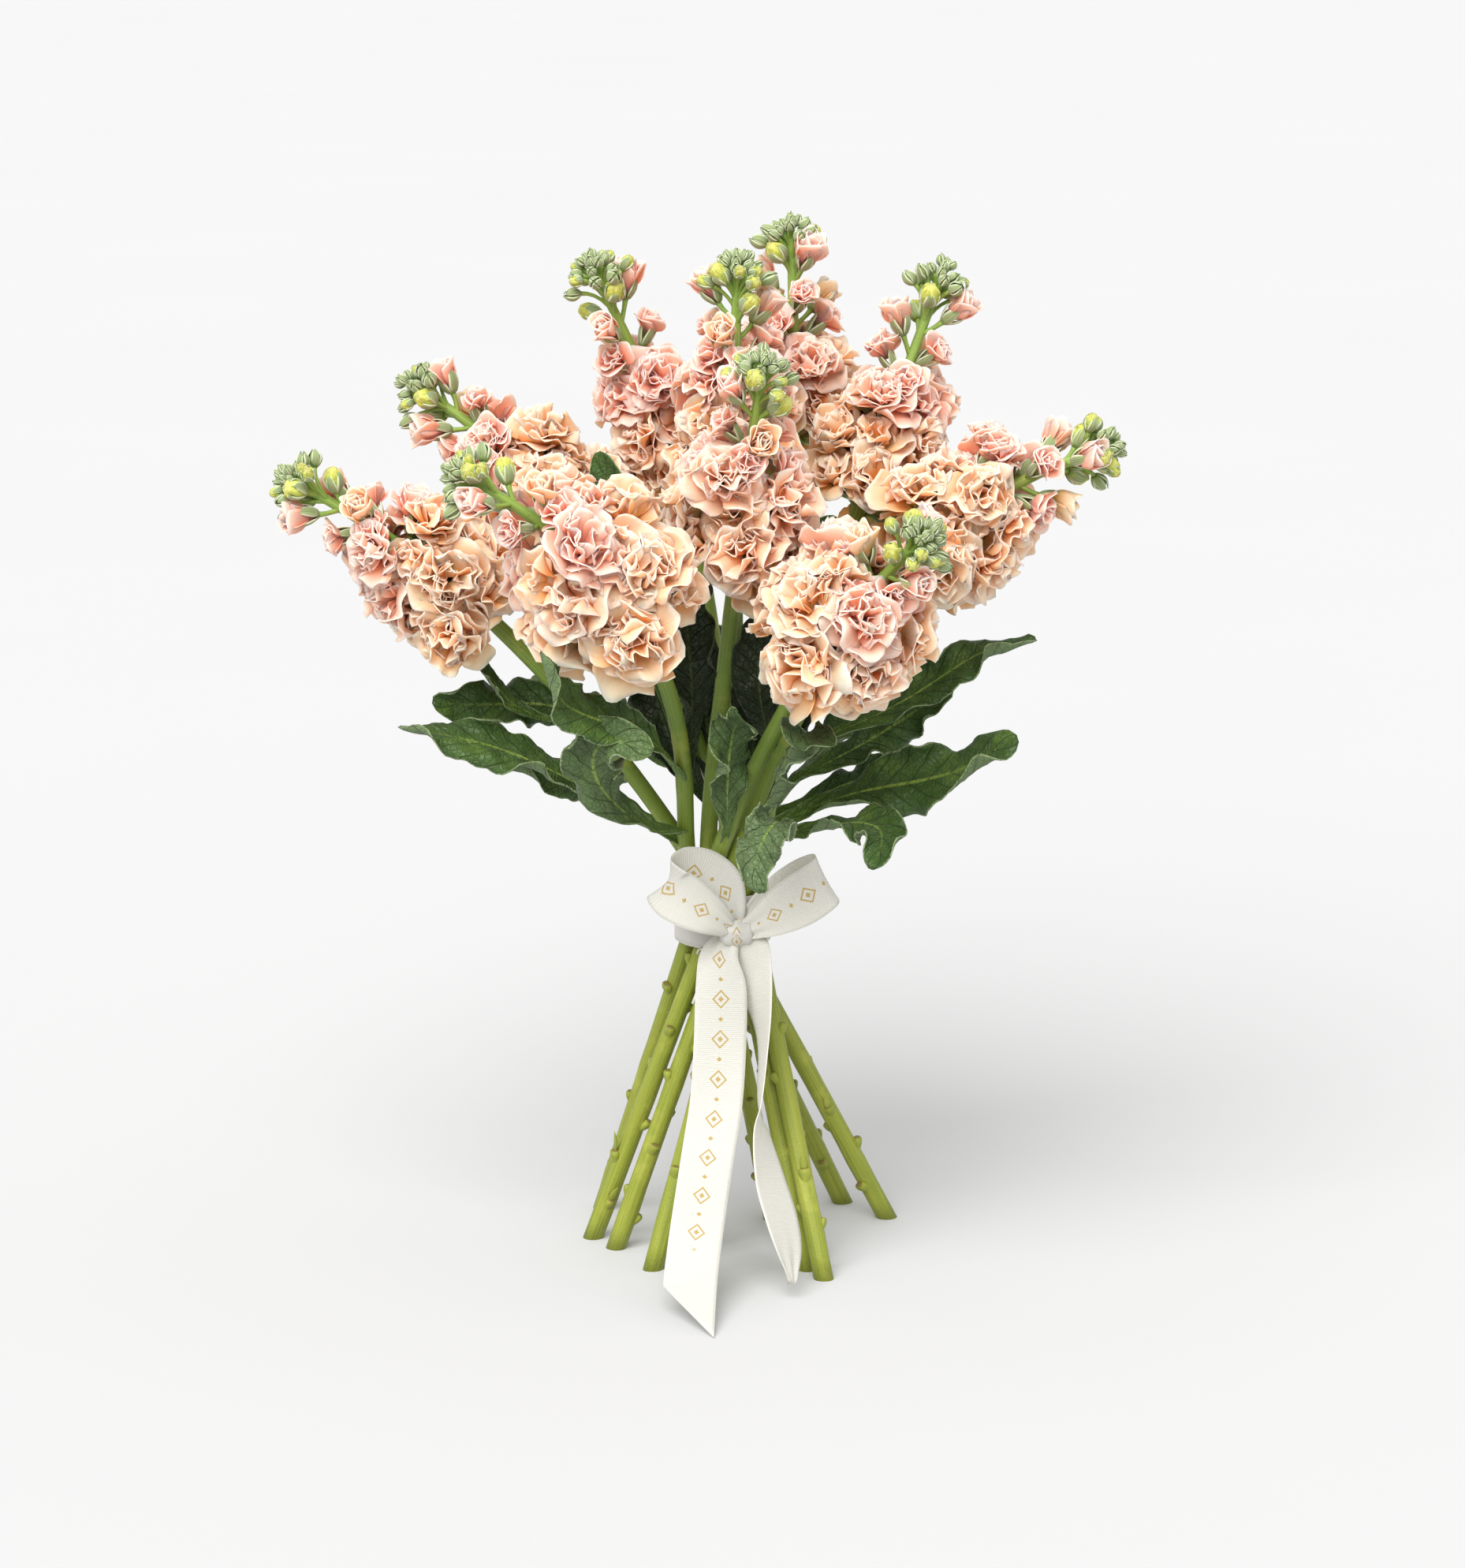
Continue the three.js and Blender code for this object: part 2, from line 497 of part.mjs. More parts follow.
// Half-open flowers, buds and the tight tip, each on its own stalk
function upperBuds(head) {
  const draw = makeDraw(head.seed + 500);
  const found = [];
  UPPER_ROWS.forEach((row) => {
    for (let k = 0; k < row.count; k += 1) {
      const share = k / (row.count - 1);
      const t = row.from + (row.to - row.from) * share;
      const turn = head.seed + 1.1 + found.length * GOLDEN_ANGLE;
      const axis = spikeAxis(head, t);
      const [u, v] = crossAxes(axis);
      const out = u.multiplyScalar(Math.cos(turn)).addScaledVector(v, Math.sin(turn));
      const stand = row.stand[0] + (row.stand[1] - row.stand[0]) * share + draw(-1.2, 1.2);
      const lean = degrees(row.lean[0] + (row.lean[1] - row.lean[0]) * share);
      const facing = out.clone().multiplyScalar(Math.sin(lean)).addScaledVector(axis, Math.cos(lean));
      const size = row.size * draw(0.92, 1.1);
      const foot = spikePoint(head, t).addScaledVector(out, stand * 0.55);
      found.push({ kind: row.kind, root: spikePoint(head, t - 0.07), foot, facing: facing.normalize(), size });
    }
  });
  return found;
}

function halfOpenSolid(bud, grow) {
  const { foot, facing, size } = bud;
  const [u, v] = crossAxes(facing);
  const r = size + grow;
  const level = ([height, share]) => ring(foot, u, v, 5, () => r * share, () => height, facing);
  const fold = (i) => HALF_OPEN.folds[(i + 1) % 2];
  return ringSkin([
    ...stalkRings(bud, grow),
    level(HALF_OPEN.calyx),
    level(HALF_OPEN.throat),
    ring(foot, u, v, 5, (i) => r * fold(i)[1], (i) => fold(i)[0] + grow, facing),
    [foot.clone().addScaledVector(facing, HALF_OPEN.middle + grow)],
  ]);
}

function budSolid(bud, grow) {
  const { foot, facing, size } = bud;
  const [u, v] = crossAxes(facing);
  const r = size + grow;
  const level = ([height, share]) => ring(foot, u, v, 5, () => r * share, () => height, facing);
  return ringSkin([
    ...stalkRings(bud, grow),
    level(BUD.foot),
    level(BUD.middle),
    [foot.clone().addScaledVector(facing, BUD.tip + grow)],
  ]);
}

function stalkRings({ root, foot }, grow) {
  const axis = foot.clone().sub(root).normalize();
  const [u, v] = crossAxes(axis);
  return [root, foot].map((at) => ring(at, u, v, 3, () => STALK_RADIUS + grow, () => 0, axis));
}

function tipCluster(head, grow) {
  const axis = spikeAxis(head, 0.97);
  const [u, v] = crossAxes(axis);
  const low = spikePoint(head, 0.9);
  const root = spikePoint(head, 0.86);
  const middle = budSolid({ root, foot: low, facing: axis, size: TIP_BUD.size }, grow);
  const around = Array.from({ length: 4 }, (_, i) => {
    const angle = (Math.PI * i) / 2 + 0.4;
    const out = u.clone().multiplyScalar(Math.cos(angle)).addScaledVector(v, Math.sin(angle));
    const rise = i % 2 ? 0.5 : -2.5;
    const foot = low.clone().addScaledVector(out, 1.2).addScaledVector(axis, rise);
    const facing = axis.clone().multiplyScalar(0.82).addScaledVector(out, 0.57).normalize();
    const [a, b] = crossAxes(facing);
    const r = TIP_BUD.smallSize + grow;
    return ringSkin([
      [foot.clone()],
      ring(foot, a, b, 4, () => r, () => TIP_BUD.smallMiddle, facing),
      [foot.clone().addScaledVector(facing, TIP_BUD.smallTip + grow)],
    ]);
  });
  return [middle, ...around];
}

function flowerStem(head, grow) {
  const buds = upperBuds(head);
  const shapes = { half: halfOpenSolid, bud: budSolid };
  return largestBody(join([
    stemTube(head, grow),
    ...leafScars(head, grow),
    ...buds.map((bud) => shapes[bud.kind](bud, grow)),
    ...tipCluster(head, grow),
  ]));
}

// Leaves: long blades with a sunk midrib and waved margins
const LEAF_STATIONS = [0, 0.16, 0.34, 0.52, 0.68, 0.84, 1];
const LEAF_PROFILE = [[0, 0.2], [0.15, 0.26], [0.35, 0.62], [0.55, 0.98], [0.68, 1], [0.84, 0.76], [1, 0.14]];

// A leaf grows from the stem nearest to its foot, so its line starts on that stem's axis.
function leafSeat(foot) {
  let seat = foot;
  let least = Infinity;
  FLOWER_STEMS.map(stemLine).forEach((line) => {
    for (let i = 1; i < line.length; i += 1) {
      const piece = new THREE.Line3(line[i - 1].at, line[i].at);
      const near = piece.closestPointToPoint(foot, true, new THREE.Vector3());
      if (near.distanceTo(foot) < least) {
        seat = near;
        least = near.distanceTo(foot);
      }
    }
  });
  return seat;
}

function leafLine(leaf) {
  const [foot, ...rest] = leaf.line.map(vec);
  return [leafSeat(foot), ...rest];
}

function leafFrame(leaf, points, s) {
  const centre = lineThroughFour(points, s);
  const axis = lineThroughFour(points, s + 0.01).sub(lineThroughFour(points, s - 0.01)).normalize();
  const side = new THREE.Vector3().crossVectors(axis, vec(leaf.face)).normalize();
  const roll = degrees(leaf.roll[0] + (leaf.roll[1] - leaf.roll[0]) * s);
  side.applyAxisAngle(axis, roll);
  const normal = new THREE.Vector3().crossVectors(side, axis).normalize();
  return { centre, side, normal };
}

function leafSolid(leaf, grow) {
  const rows = [];
  const normals = [];
  const points = leafLine(leaf);
  LEAF_STATIONS.forEach((s) => {
    const { centre, side, normal } = leafFrame(leaf, points, s);
    const share = tableValue(LEAF_PROFILE, s);
    const half = (leaf.width / 2) * share + grow;
    const lift = (offset) => {
      const ripple = Math.sin(2 * Math.PI * (leaf.waves * s + leaf.phase + offset));
      return half * 0.28 + leaf.wave * share * ripple;
    };
    const edge = (way, offset) =>
      centre.clone().addScaledVector(side, way * half).addScaledVector(normal, lift(offset));
    rows.push([edge(-1, 0), centre, edge(1, 0.42)]);
    normals.push(normal);
  });
  return sheetSkin(rows, normals, BLADE_THICKNESS + 2 * grow);
}

// Ribbon: band round the stems, knot, two bow loops and two tails
function hoop({ inner, outer, low, high }) {
  const corners = [[inner, low], [outer, low], [outer, high], [inner, high], [inner, low]];
  const profile = corners.map(([radius, height]) => new THREE.Vector2(radius, height));
  const geometry = new THREE.LatheGeometry(profile, HOOP_SIDES);
  geometry.rotateX(Math.PI / 2).translate(TIE_CENTRE_X, 0, 0);
  return solidOf(geometry);
}

function ribbonStrip(rows) {
  const points = [];
  const normals = [];
  rows.forEach((row, i) => {
    const at = vec(row.at);
    const before = vec(rows[Math.max(i - 1, 0)].at);
    const after = vec(rows[Math.min(i + 1, rows.length - 1)].at);
    const along = after.sub(before).normalize();
    const across = vec(row.across);
    across.addScaledVector(along, -across.dot(along)).normalize();
    const half = row.width / 2;
    points.push([at.clone().addScaledVector(across, -half), at.clone().addScaledVector(across, half)]);
    normals.push(new THREE.Vector3().crossVectors(across, along).normalize());
  });
  return { points, normals };
}

function frontTail() {
  const { points, normals } = ribbonStrip(FRONT_TAIL);
  points.push([...FRONT_TAIL_TIP].reverse().map(vec));
  normals.push(normals[normals.length - 1].clone());
  return sheetSkin(points, normals, RIBBON_THICKNESS);
}

function ribbonPiece(rows) {
  const { points, normals } = ribbonStrip(rows);
  return sheetSkin(points, normals, RIBBON_THICKNESS);
}

function knotSolid() {
  const geometry = new THREE.SphereGeometry(1, 6, 4);
  geometry.scale(...KNOT.size).translate(...KNOT.centre);
  return solidOf(geometry);
}

function ribbonSolid() {
  return join([hoop(BAND), knotSolid(), frontTail(), ...[RIGHT_TAIL, LEFT_LOOP, RIGHT_LOOP].map(ribbonPiece)]);
}

// The bunch
function nodeMesh(name, body, colour, roughness) {
  const { vertProperties, triVerts } = body.getMesh();
  const geometry = new THREE.BufferGeometry();
  geometry.setAttribute("position", new THREE.BufferAttribute(new Float32Array(vertProperties), 3));
  geometry.setIndex(new THREE.BufferAttribute(new Uint32Array(triVerts), 1));
  geometry.translate(...ORIGIN_SHIFT);
  geometry.computeVertexNormals();
  const material = new THREE.MeshStandardMaterial({ color: colour, roughness, metalness: 0 });
  const mesh = new THREE.Mesh(geometry, material);
  mesh.name = name;
  return mesh;
}

function buildBunch() {
  const bunch = new THREE.Group();
  bunch.name = "stock_flower_bunch";
  const stems = FLOWER_STEMS.map((head) => flowerStem(head, 0));
  const stemRoom = join(FLOWER_STEMS.map((head) => flowerStem(head, CLEARANCE)));
  let bloomRoom = null;
  FLOWER_STEMS.forEach((head, i) => {
    bunch.add(nodeMesh(`stem_${head.name}`, stems[i], COLOURS.stem, 0.6));
    let bloom = bloomSolid(head, 0).subtract(stemRoom);
    if (bloomRoom) bloom = bloom.subtract(bloomRoom);
    bunch.add(nodeMesh(`bloom_${head.name}`, largestBody(bloom), COLOURS.petal, 0.8));
    const room = bloomSolid(head, CLEARANCE);
    bloomRoom = bloomRoom ? bloomRoom.add(room) : room;
  });
  let taken = stemRoom.add(bloomRoom);
  LEAVES.forEach((leaf, i) => {
    const blade = largestBody(leafSolid(leaf, 0).subtract(taken));
    bunch.add(nodeMesh(`leaf_${String(i + 1).padStart(2, "0")}`, blade, COLOURS.leaf, 0.7));
    taken = taken.add(leafSolid(leaf, CLEARANCE));
  });
  bunch.add(nodeMesh("ribbon", largestBody(ribbonSolid()), COLOURS.ribbon, 0.75));
  bunch.add(nodeMesh("binding", hoop(BINDING), COLOURS.binding, 0.9));
  return bunch;
}

export default buildBunch();
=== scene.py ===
# Hand-tied bunch of double stock flowers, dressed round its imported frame.
# Shapes are worked out in millimetres about the tie, as in the CAD source, and each finished
# mesh is then put into the frame in metres.
import math
from collections import namedtuple

import bmesh
import bpy
from bpy.props import FloatProperty, FloatVectorProperty, IntProperty, PointerProperty
from mathutils import Matrix, Vector, noise


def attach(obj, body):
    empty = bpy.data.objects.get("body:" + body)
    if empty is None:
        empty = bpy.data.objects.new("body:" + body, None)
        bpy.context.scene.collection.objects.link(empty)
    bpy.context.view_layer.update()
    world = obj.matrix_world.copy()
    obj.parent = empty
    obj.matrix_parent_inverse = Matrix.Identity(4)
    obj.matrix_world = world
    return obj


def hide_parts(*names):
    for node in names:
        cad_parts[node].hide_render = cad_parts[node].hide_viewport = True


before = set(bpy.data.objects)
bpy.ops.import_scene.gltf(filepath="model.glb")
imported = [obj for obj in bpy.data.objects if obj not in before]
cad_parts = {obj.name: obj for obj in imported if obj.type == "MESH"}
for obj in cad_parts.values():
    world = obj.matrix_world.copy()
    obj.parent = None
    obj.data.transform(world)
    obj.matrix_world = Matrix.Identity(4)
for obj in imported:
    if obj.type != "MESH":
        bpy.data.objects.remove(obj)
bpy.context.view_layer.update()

bl_info = {
    "name": "Bunch of stock flowers",
    "version": (1, 0, 0),
    "blender": (4, 5, 0),
    "location": "3D Viewport > Sidebar > Stock",
    "description": "Dresses the packed frame of a hand-tied bunch of double stock flowers",
    "category": "Add Mesh",
}

# The vector noise is different in each run unless it has a seed
noise.seed_set(7)

# Frame: the shift from the tie's own place, in millimetres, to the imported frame's origin
MM = 0.001
ORIGIN_SHIFT = Vector((16.3, 5.8, 0.0))
BODY = "root"
SEAM = 0.002

# Driving dimensions in millimetres, the same as in the CAD source
TIE_HEIGHT = 165.0
TIE_CENTRE_X = -4.5
STEM_RADII = ((0, 4.7), (165, 4.15), (300, 3.85), (380, 3.4))
STEM_TIP_RADIUS = 1.9
BLOOM_ZONE = 0.56
FLORET_LEAST_RADIUS = 11.5
GOLDEN_ANGLE = math.radians(137.508)
BAND = {"radius": 23.0, "low": 153.0, "high": 178.0}
BINDING = {"radius": 21.65, "low": 150.9, "high": 168.6}

# A head: foot and tip of its spike, reach of its flowers, place of its stem at the tie and on the
# floor (degrees and radius), number and radius of its florets
Head = namedtuple("Head", "name base tip reach waist foot florets floret seed")
HEADS = (
    Head("01", (-122, -15, 318), (-213, -25, 382), 34, (101, 13.5), (24.5, 89), 9, 18, 1201),
    Head("02", (-80, 20, 354), (-158, 32, 419), 33, (17, 13.8), (309, 76), 8, 18, 2303),
    Head("03", (-48, -80, 327), (-130, -105, 397), 41, (145, 14), (46, 86), 10, 21, 3407),
    Head("04", (-23, 68, 356), (-72, 55, 477), 32, (55.4, 10.9), (311.5, 60), 8, 18, 4509),
    Head("05", (1, 18, 375), (2, 15, 481), 31, (322, 4.7), (224, 21.6), 7, 18, 5611),
    Head("06", (29, 85, 381), (28, 96, 491), 32, (329, 14), (233, 56), 8, 18, 6713),
    Head("07", (2, -36, 340), (15, -70, 444), 37, (164, 5), (54, 42), 9, 20, 7817),
    Head("08", (60, 37, 354), (104, 60, 474), 32, (289, 14.5), (193, 53.4), 9, 18, 8919),
    Head("09", (90, -17, 345), (183, -10, 393), 36, (251, 13.5), (176, 64), 8, 18.5, 9923),
    Head("10", (43, -80, 310), (90, -120, 370), 42, (200, 13.2), (139, 80), 10, 21, 10429),
)

# The upper spike: flowers that open later stand closer to the stem and face the tip. Each row goes
# from its start to its end on the spike, with the stand from the stem and the lean at both
Row = namedtuple("Row", "kind count start end stand lean size")
UPPER_ROWS = (
    Row("half", 3, 0.6, 0.78, (17, 15), (46, 34), 8.8),
    Row("bud", 3, 0.76, 0.87, (12, 9.5), (48, 40), 3.8),
)
YOUNG_ROW = Row("young", 5, 0.46, 0.66, (17, 12), (58, 42), 12.5)

# Whorls of petals, as shares of the flower's radius: length and width of a petal, how far it
# leans from the flower's axis at its foot and tip (degrees), its cup, its ruffle, its foot and the
# waves of its margin.
# Wild says how far the petals of a flower stray from this plan.
Whorl = namedtuple("Whorl", "count length width start end cup ruffle foot waves")
OPEN_WHORLS = (
    Whorl(6, 1.14, 1.22, 46, 100, 0.04, 0.12, -0.34, 1.7),
    Whorl(6, 1.06, 1.12, 34, 82, 0.06, 0.15, -0.28, 1.9),
    Whorl(5, 1.00, 1.10, 25, 62, 0.06, 0.18, -0.22, 2.1),
    Whorl(5, 0.92, 0.98, 17, 44, 0.06, 0.19, -0.18, 2.3),
    Whorl(3, 0.84, 0.90, 9, 26, 0.08, 0.20, -0.14, 2.3),
)
FILLER_WHORLS = (
    Whorl(6, 1.26, 1.24, 40, 94, 0.04, 0.14, -0.34, 1.8),
    Whorl(5, 1.10, 1.14, 27, 68, 0.06, 0.18, -0.26, 2.1),
    Whorl(4, 0.96, 0.96, 12, 38, 0.08, 0.20, -0.20, 2.2),
)
YOUNG_WHORLS = (
    Whorl(5, 1.25, 1.24, 30, 62, 0.08, 0.13, -0.30, 1.0),
    Whorl(5, 1.15, 1.04, 20, 36, 0.12, 0.16, -0.24, 1.4),
    Whorl(4, 1.00, 0.84, 8, 12, 0.16, 0.16, -0.20, 1.6),
)
HALF_OPEN_WHORLS = (
    Whorl(5, 2.05, 1.45, 26, 22, 0.32, 0.12, 0.20, 1.0),
    Whorl(5, 1.95, 1.20, 16, 2, 0.34, 0.12, 0.25, 1.0),
    Whorl(4, 1.70, 0.95, 8, -12, 0.36, 0.10, 0.30, 1.0),
)
WHORLS = {"open": OPEN_WHORLS, "filler": FILLER_WHORLS, "young": YOUNG_WHORLS, "half": HALF_OPEN_WHORLS}
FULLNESS = {"open": 1.22, "filler": 1.16, "young": 1.08}
WILD = {"open": 1.0, "filler": 1.0, "young": 0.6, "half": 0.2}

# Leaves: four points along the midrib, greatest width, the side that the face looks to, roll at
# foot and tip (degrees), and the size, number and start of the margin's waves
Leaf = namedtuple("Leaf", "line width face roll wave waves phase")
LEAVES = (
    Leaf(((-34, -8, 204), (-70, -22, 231), (-113, -28, 251), (-157, -22, 261)), 25,
         (0.1, -0.7, 0.7), (0, 25), 3.0, 2.3, 0.1),
    Leaf(((-36, 3, 200), (-56, 9, 218), (-80, 13, 228), (-113, 15, 232)), 20,
         (0.2, -0.6, 0.8), (10, -10), 2.4, 2.0, 0.4),
    Leaf(((-49, 10, 234), (-79, 6, 262), (-109, 2, 267), (-142, -6, 270)), 24,
         (0.0, -0.8, 0.6), (0, -20), 3.2, 2.4, 0.7),
    Leaf(((-29, -36, 233), (-44, -76, 268), (-69, -102, 284), (-91, -120, 313)), 27,
         (0.6, -0.6, 0.5), (0, 20), 2.6, 2.0, 0.2),
    Leaf(((-31, -32, 201), (-54, -68, 233), (-64, -93, 262), (-38, -112, 268)), 28,
         (-0.2, -0.8, 0.55), (0, 20), 3.6, 2.6, 0.5),
    Leaf(((-86, -6, 250), (-98, -10, 266), (-112, -14, 280), (-126, -18, 292)), 9,
         (0.3, -0.8, 0.5), (0, 20), 1.0, 1.6, 0.1),
    Leaf(((-5, -30, 196), (-2, -49, 231), (-1, -59, 262), (8, -67, 280)), 23,
         (0.3, -0.9, 0.3), (0, 15), 3.0, 2.6, 0.8),
    Leaf(((11, -25, 202), (21, -50, 237), (28, -68, 262), (46, -98, 266)), 23,
         (0.5, -0.6, 0.6), (0, 25), 3.2, 2.4, 0.3),
    Leaf(((19, -24, 198), (22, -58, 221), (15, -86, 222), (11, -94, 199)), 22,
         (0.1, -0.5, 0.85), (0, 10), 3.4, 2.6, 0.6),
    Leaf(((27, -14, 198), (46, -40, 216), (67, -62, 222), (64, -86, 207)), 24,
         (-0.2, -0.5, 0.85), (0, -15), 3.0, 2.3, 0.0),
    Leaf(((29, -4, 203), (58, -16, 227), (97, -26, 238), (137, -32, 251)), 33,
         (-0.1, -0.75, 0.65), (0, -15), 2.6, 2.0, 0.25),
    Leaf(((27, 10, 208), (47, 18, 221), (68, 24, 228), (92, 32, 230)), 20,
         (0.0, -0.6, 0.8), (0, 15), 2.6, 2.2, 0.45),
    Leaf(((32, 18, 219), (55, 22, 239), (80, 26, 253), (106, 28, 269)), 24,
         (-0.2, -0.75, 0.6), (0, 20), 3.2, 2.6, 0.65),
    Leaf(((48, -2, 236), (74, -4, 266), (108, -4, 286), (143, -2, 302)), 23,
         (-0.3, -0.75, 0.6), (0, -20), 2.8, 2.2, 0.85),
    Leaf(((-30, -22, 262), (-42, -16, 308), (-52, -12, 352), (-62, -8, 389)), 23,
         (-0.2, -0.95, 0.1), (0, -15), 1.8, 1.6, 0.2),
    Leaf(((-16, -28, 241), (-19, -36, 275), (-21, -40, 307), (-17, -38, 334)), 26,
         (0.2, -0.95, 0.1), (0, 15), 2.2, 2.0, 0.55),
    Leaf(((12, -26, 245), (14, -32, 270), (12, -34, 294), (14, -34, 316)), 24,
         (0.1, -0.95, 0.2), (0, -15), 2.0, 2.0, 0.35),
    Leaf(((30, 12, 290), (36, 10, 315), (42, 8, 338), (46, 8, 358)), 21,
         (-0.2, -0.95, 0.1), (0, 10), 1.8, 1.8, 0.75),
    Leaf(((-22, 30, 206), (-42, 56, 236), (-70, 82, 252), (-100, 104, 258)), 27,
         (-0.3, 0.4, 0.85), (0, 20), 3.0, 2.3, 0.15),
    Leaf(((2, 34, 208), (6, 64, 242), (2, 98, 262), (-10, 134, 270)), 28,
         (0.0, -0.5, 0.85), (0, -20), 3.0, 2.4, 0.5),
    Leaf(((22, 28, 204), (44, 54, 234), (70, 78, 250), (96, 100, 252)), 27,
         (-0.4, -0.3, 0.85), (0, 20), 3.2, 2.3, 0.9),
    Leaf(((-14, 40, 241), (-24, 60, 272), (-40, 78, 296), (-60, 96, 310)), 22,
         (0.4, -0.4, 0.8), (0, -10), 2.4, 2.0, 0.3),
    Leaf(((23, 26, 250), (41, 49, 284), (57, 73, 306), (77, 95, 314)), 24,
         (-0.4, -0.4, 0.8), (0, 15), 2.6, 2.2, 0.6),
    Leaf(((-10, 6, 205), (-25, 12, 238), (-36, 14, 265), (-40, 12, 290)), 27,
         (-0.2, -0.95, 0.1), (0, 15), 2.6, 2.1, 0.35),
    Leaf(((-6, 4, 205), (-10, 12, 239), (-13, 16, 270), (-11, 18, 304)), 26,
         (0.1, -0.95, 0.1), (0, -15), 2.4, 2.2, 0.7),
    Leaf(((5, -6, 209), (9, -6, 242), (12, -4, 273), (11, 0, 304)), 24,
         (0.1, -0.95, 0.1), (0, 15), 2.6, 2.4, 0.05),
    Leaf(((12, -4, 211), (21, -8, 243), (30, -8, 270), (40, -6, 292)), 22,
         (-0.1, -0.95, 0.2), (0, -15), 2.6, 2.2, 0.5),
)

# Ribbon: each strip is a list of (point on its middle, direction across, width seen there)
RIBBON_WIDTH = 25
FRONT_TAIL = (
    ((1, -28.5, 163), (1, 0.1, 0), 8), ((-6, -33, 153), (0.97, -0.15, 0.2), 18),
    ((-5.5, -37, 138), (1, -0.05, 0.05), 24), ((-5.8, -42, 114), (1, 0.08, 0), 25),
    ((-7.6, -51, 86), (1, -0.05, -0.05), 25), ((-11, -62, 66), (0.99, -0.1, -0.1), 25),
    ((-14.5, -76, 46), (0.98, 0.1, -0.12), 25), ((-17.5, -92, 29), (0.99, 0.05, -0.08), 25),
    ((-19.5, -108, 16), (1, 0, -0.04), 25),
)
FRONT_TAIL_TIP = ((-32, -112, 13.5), (-8.5, -146, 0.5))
RIGHT_TAIL = (
    ((4, -29, 163), (0.9, 0.1, -0.35), 9), ((8, -32, 157), (0.95, -0.25, 0), 18),
    ((9.6, -36, 143), (0.72, -0.68, 0), 25), ((13.5, -42, 126), (0.4, -0.9, 0.1), 25),
    ((14.5, -47, 110), (0.16, -0.97, -0.1), 25), ((13, -56, 86), (0.05, -0.98, -0.18), 25),
    ((14, -62, 72), (-0.2, -0.95, -0.2), 25), ((18, -71, 52), (-0.4, -0.88, -0.2), 25),
    ((23, -79, 36), (-0.42, -0.86, -0.2), 25), ((26.5, -86, 22), (-0.4, -0.86, -0.3), 20),
    ((28, -91, 8), (-0.4, -0.85, -0.35), 5),
)
LEFT_LOOP = (
    ((1, -28, 164), (0.5, 0.1, 0.85), 8), ((-1, -28, 174), (0.4, 0.1, 0.92), 16),
    ((-5, -28.5, 184), (0.12, 0.1, 0.98), 22), ((-13, -30, 190), (0.02, 0.1, 0.99), 25),
    ((-22, -32, 192), (0.25, 0.08, 0.96), 25), ((-29, -35.5, 190), (0.5, 0.05, 0.85), 25),
    ((-31, -39, 188), (0.58, 0.05, 0.8), 25), ((-28, -42, 184.5), (0.58, 0.1, 0.8), 25),
    ((-20, -43, 179.5), (0.52, 0.3, 0.8), 24), ((-11, -41, 174), (0.5, 0.45, 0.75), 20),
    ((-4, -36, 168), (0.5, 0.4, 0.78), 13), ((0, -31, 163), (0.5, 0.2, 0.85), 8),
)
RIGHT_LOOP = (
    ((4, -28, 163), (-0.3, 0, 0.95), 8), ((12, -26, 170), (-0.3, 0, 0.95), 15),
    ((23, -27, 178.5), (-0.35, 0.05, 0.93), 22), ((34, -29, 185.5), (-0.38, 0.05, 0.92), 25),
    ((42, -32, 189.5), (-0.4, 0.05, 0.91), 25), ((44.5, -35.5, 190), (-0.4, 0.05, 0.91), 25),
    ((41.5, -39, 187), (-0.4, 0.05, 0.91), 25), ((31, -40, 180), (-0.38, 0.15, 0.9), 25),
    ((19, -38, 172.5), (-0.35, 0.25, 0.9), 20), ((9.5, -33, 166), (-0.3, 0.2, 0.93), 12),
    ((4, -30, 162.5), (-0.3, 0, 0.95), 8),
)
KNOT_CENTRE = Vector((2, -28.7, 162))
KNOT_SIZE = Vector((8.5, 7.3, 6.5))

# Camera at the photograph's viewing angle; distances in millimetres
CAMERA_PLACE = Vector((0.0, -2149.7, 695.9))
CAMERA_DOWN = math.radians(12.28)
CAMERA_SENSOR = 36.0
PHOTO_HEIGHT = 1988
FOCAL_PIXELS = 5835.5


# Draws, lines and directions
class Draw:
    """Seeded draws, the same as the CAD source makes."""

    LIMIT = 2147483647

    def __init__(self, seed):
        self.state = (seed * 48271) % self.LIMIT

    def __call__(self, low, high):
        self.state = (self.state * 16807) % self.LIMIT
        return low + (high - low) * self.state / self.LIMIT


def table_value(table, at):
    if at <= table[0][0]:
        return table[0][1]
    for (x0, y0), (x1, y1) in zip(table, table[1:]):
        if at <= x1:
            return y0 + (y1 - y0) * (at - x0) / (x1 - x0)
    return table[-1][1]


def ease(x):
    x = min(max(x, 0.0), 1.0)
    return x * x * (3 - 2 * x)


def mix(low, high, share):
    return low + (high - low) * share


def round_tie(turn, radius, height):
    return Vector((TIE_CENTRE_X + radius * math.cos(turn), radius * math.sin(turn), height))


def polar(place, height):
    angle, radius = place
    return round_tie(math.radians(angle), radius, height)


def bezier(a, b, c, t):
    return a * (1 - t) ** 2 + b * (2 * t * (1 - t)) + c * t * t


def bezier_slope(a, b, c, t):
    return ((b - a) * (1 - t) + (c - b) * t).normalized()


def cubic(a, b, c, d, t):
    s = 1 - t
    return a * s ** 3 + b * (3 * s * s * t) + c * (3 * s * t * t) + d * t ** 3


def through_four(points, s):
    """A smooth line through four points, with s from 0 to 1."""
    knots = (0.0, 1 / 3, 2 / 3, 1.0)
    out = Vector()
    for i, point in enumerate(points):
        weight = 1.0
        for j, knot in enumerate(knots):
            if j != i:
                weight *= (s - knot) / (knots[i] - knot)
        out += point * weight
    return out


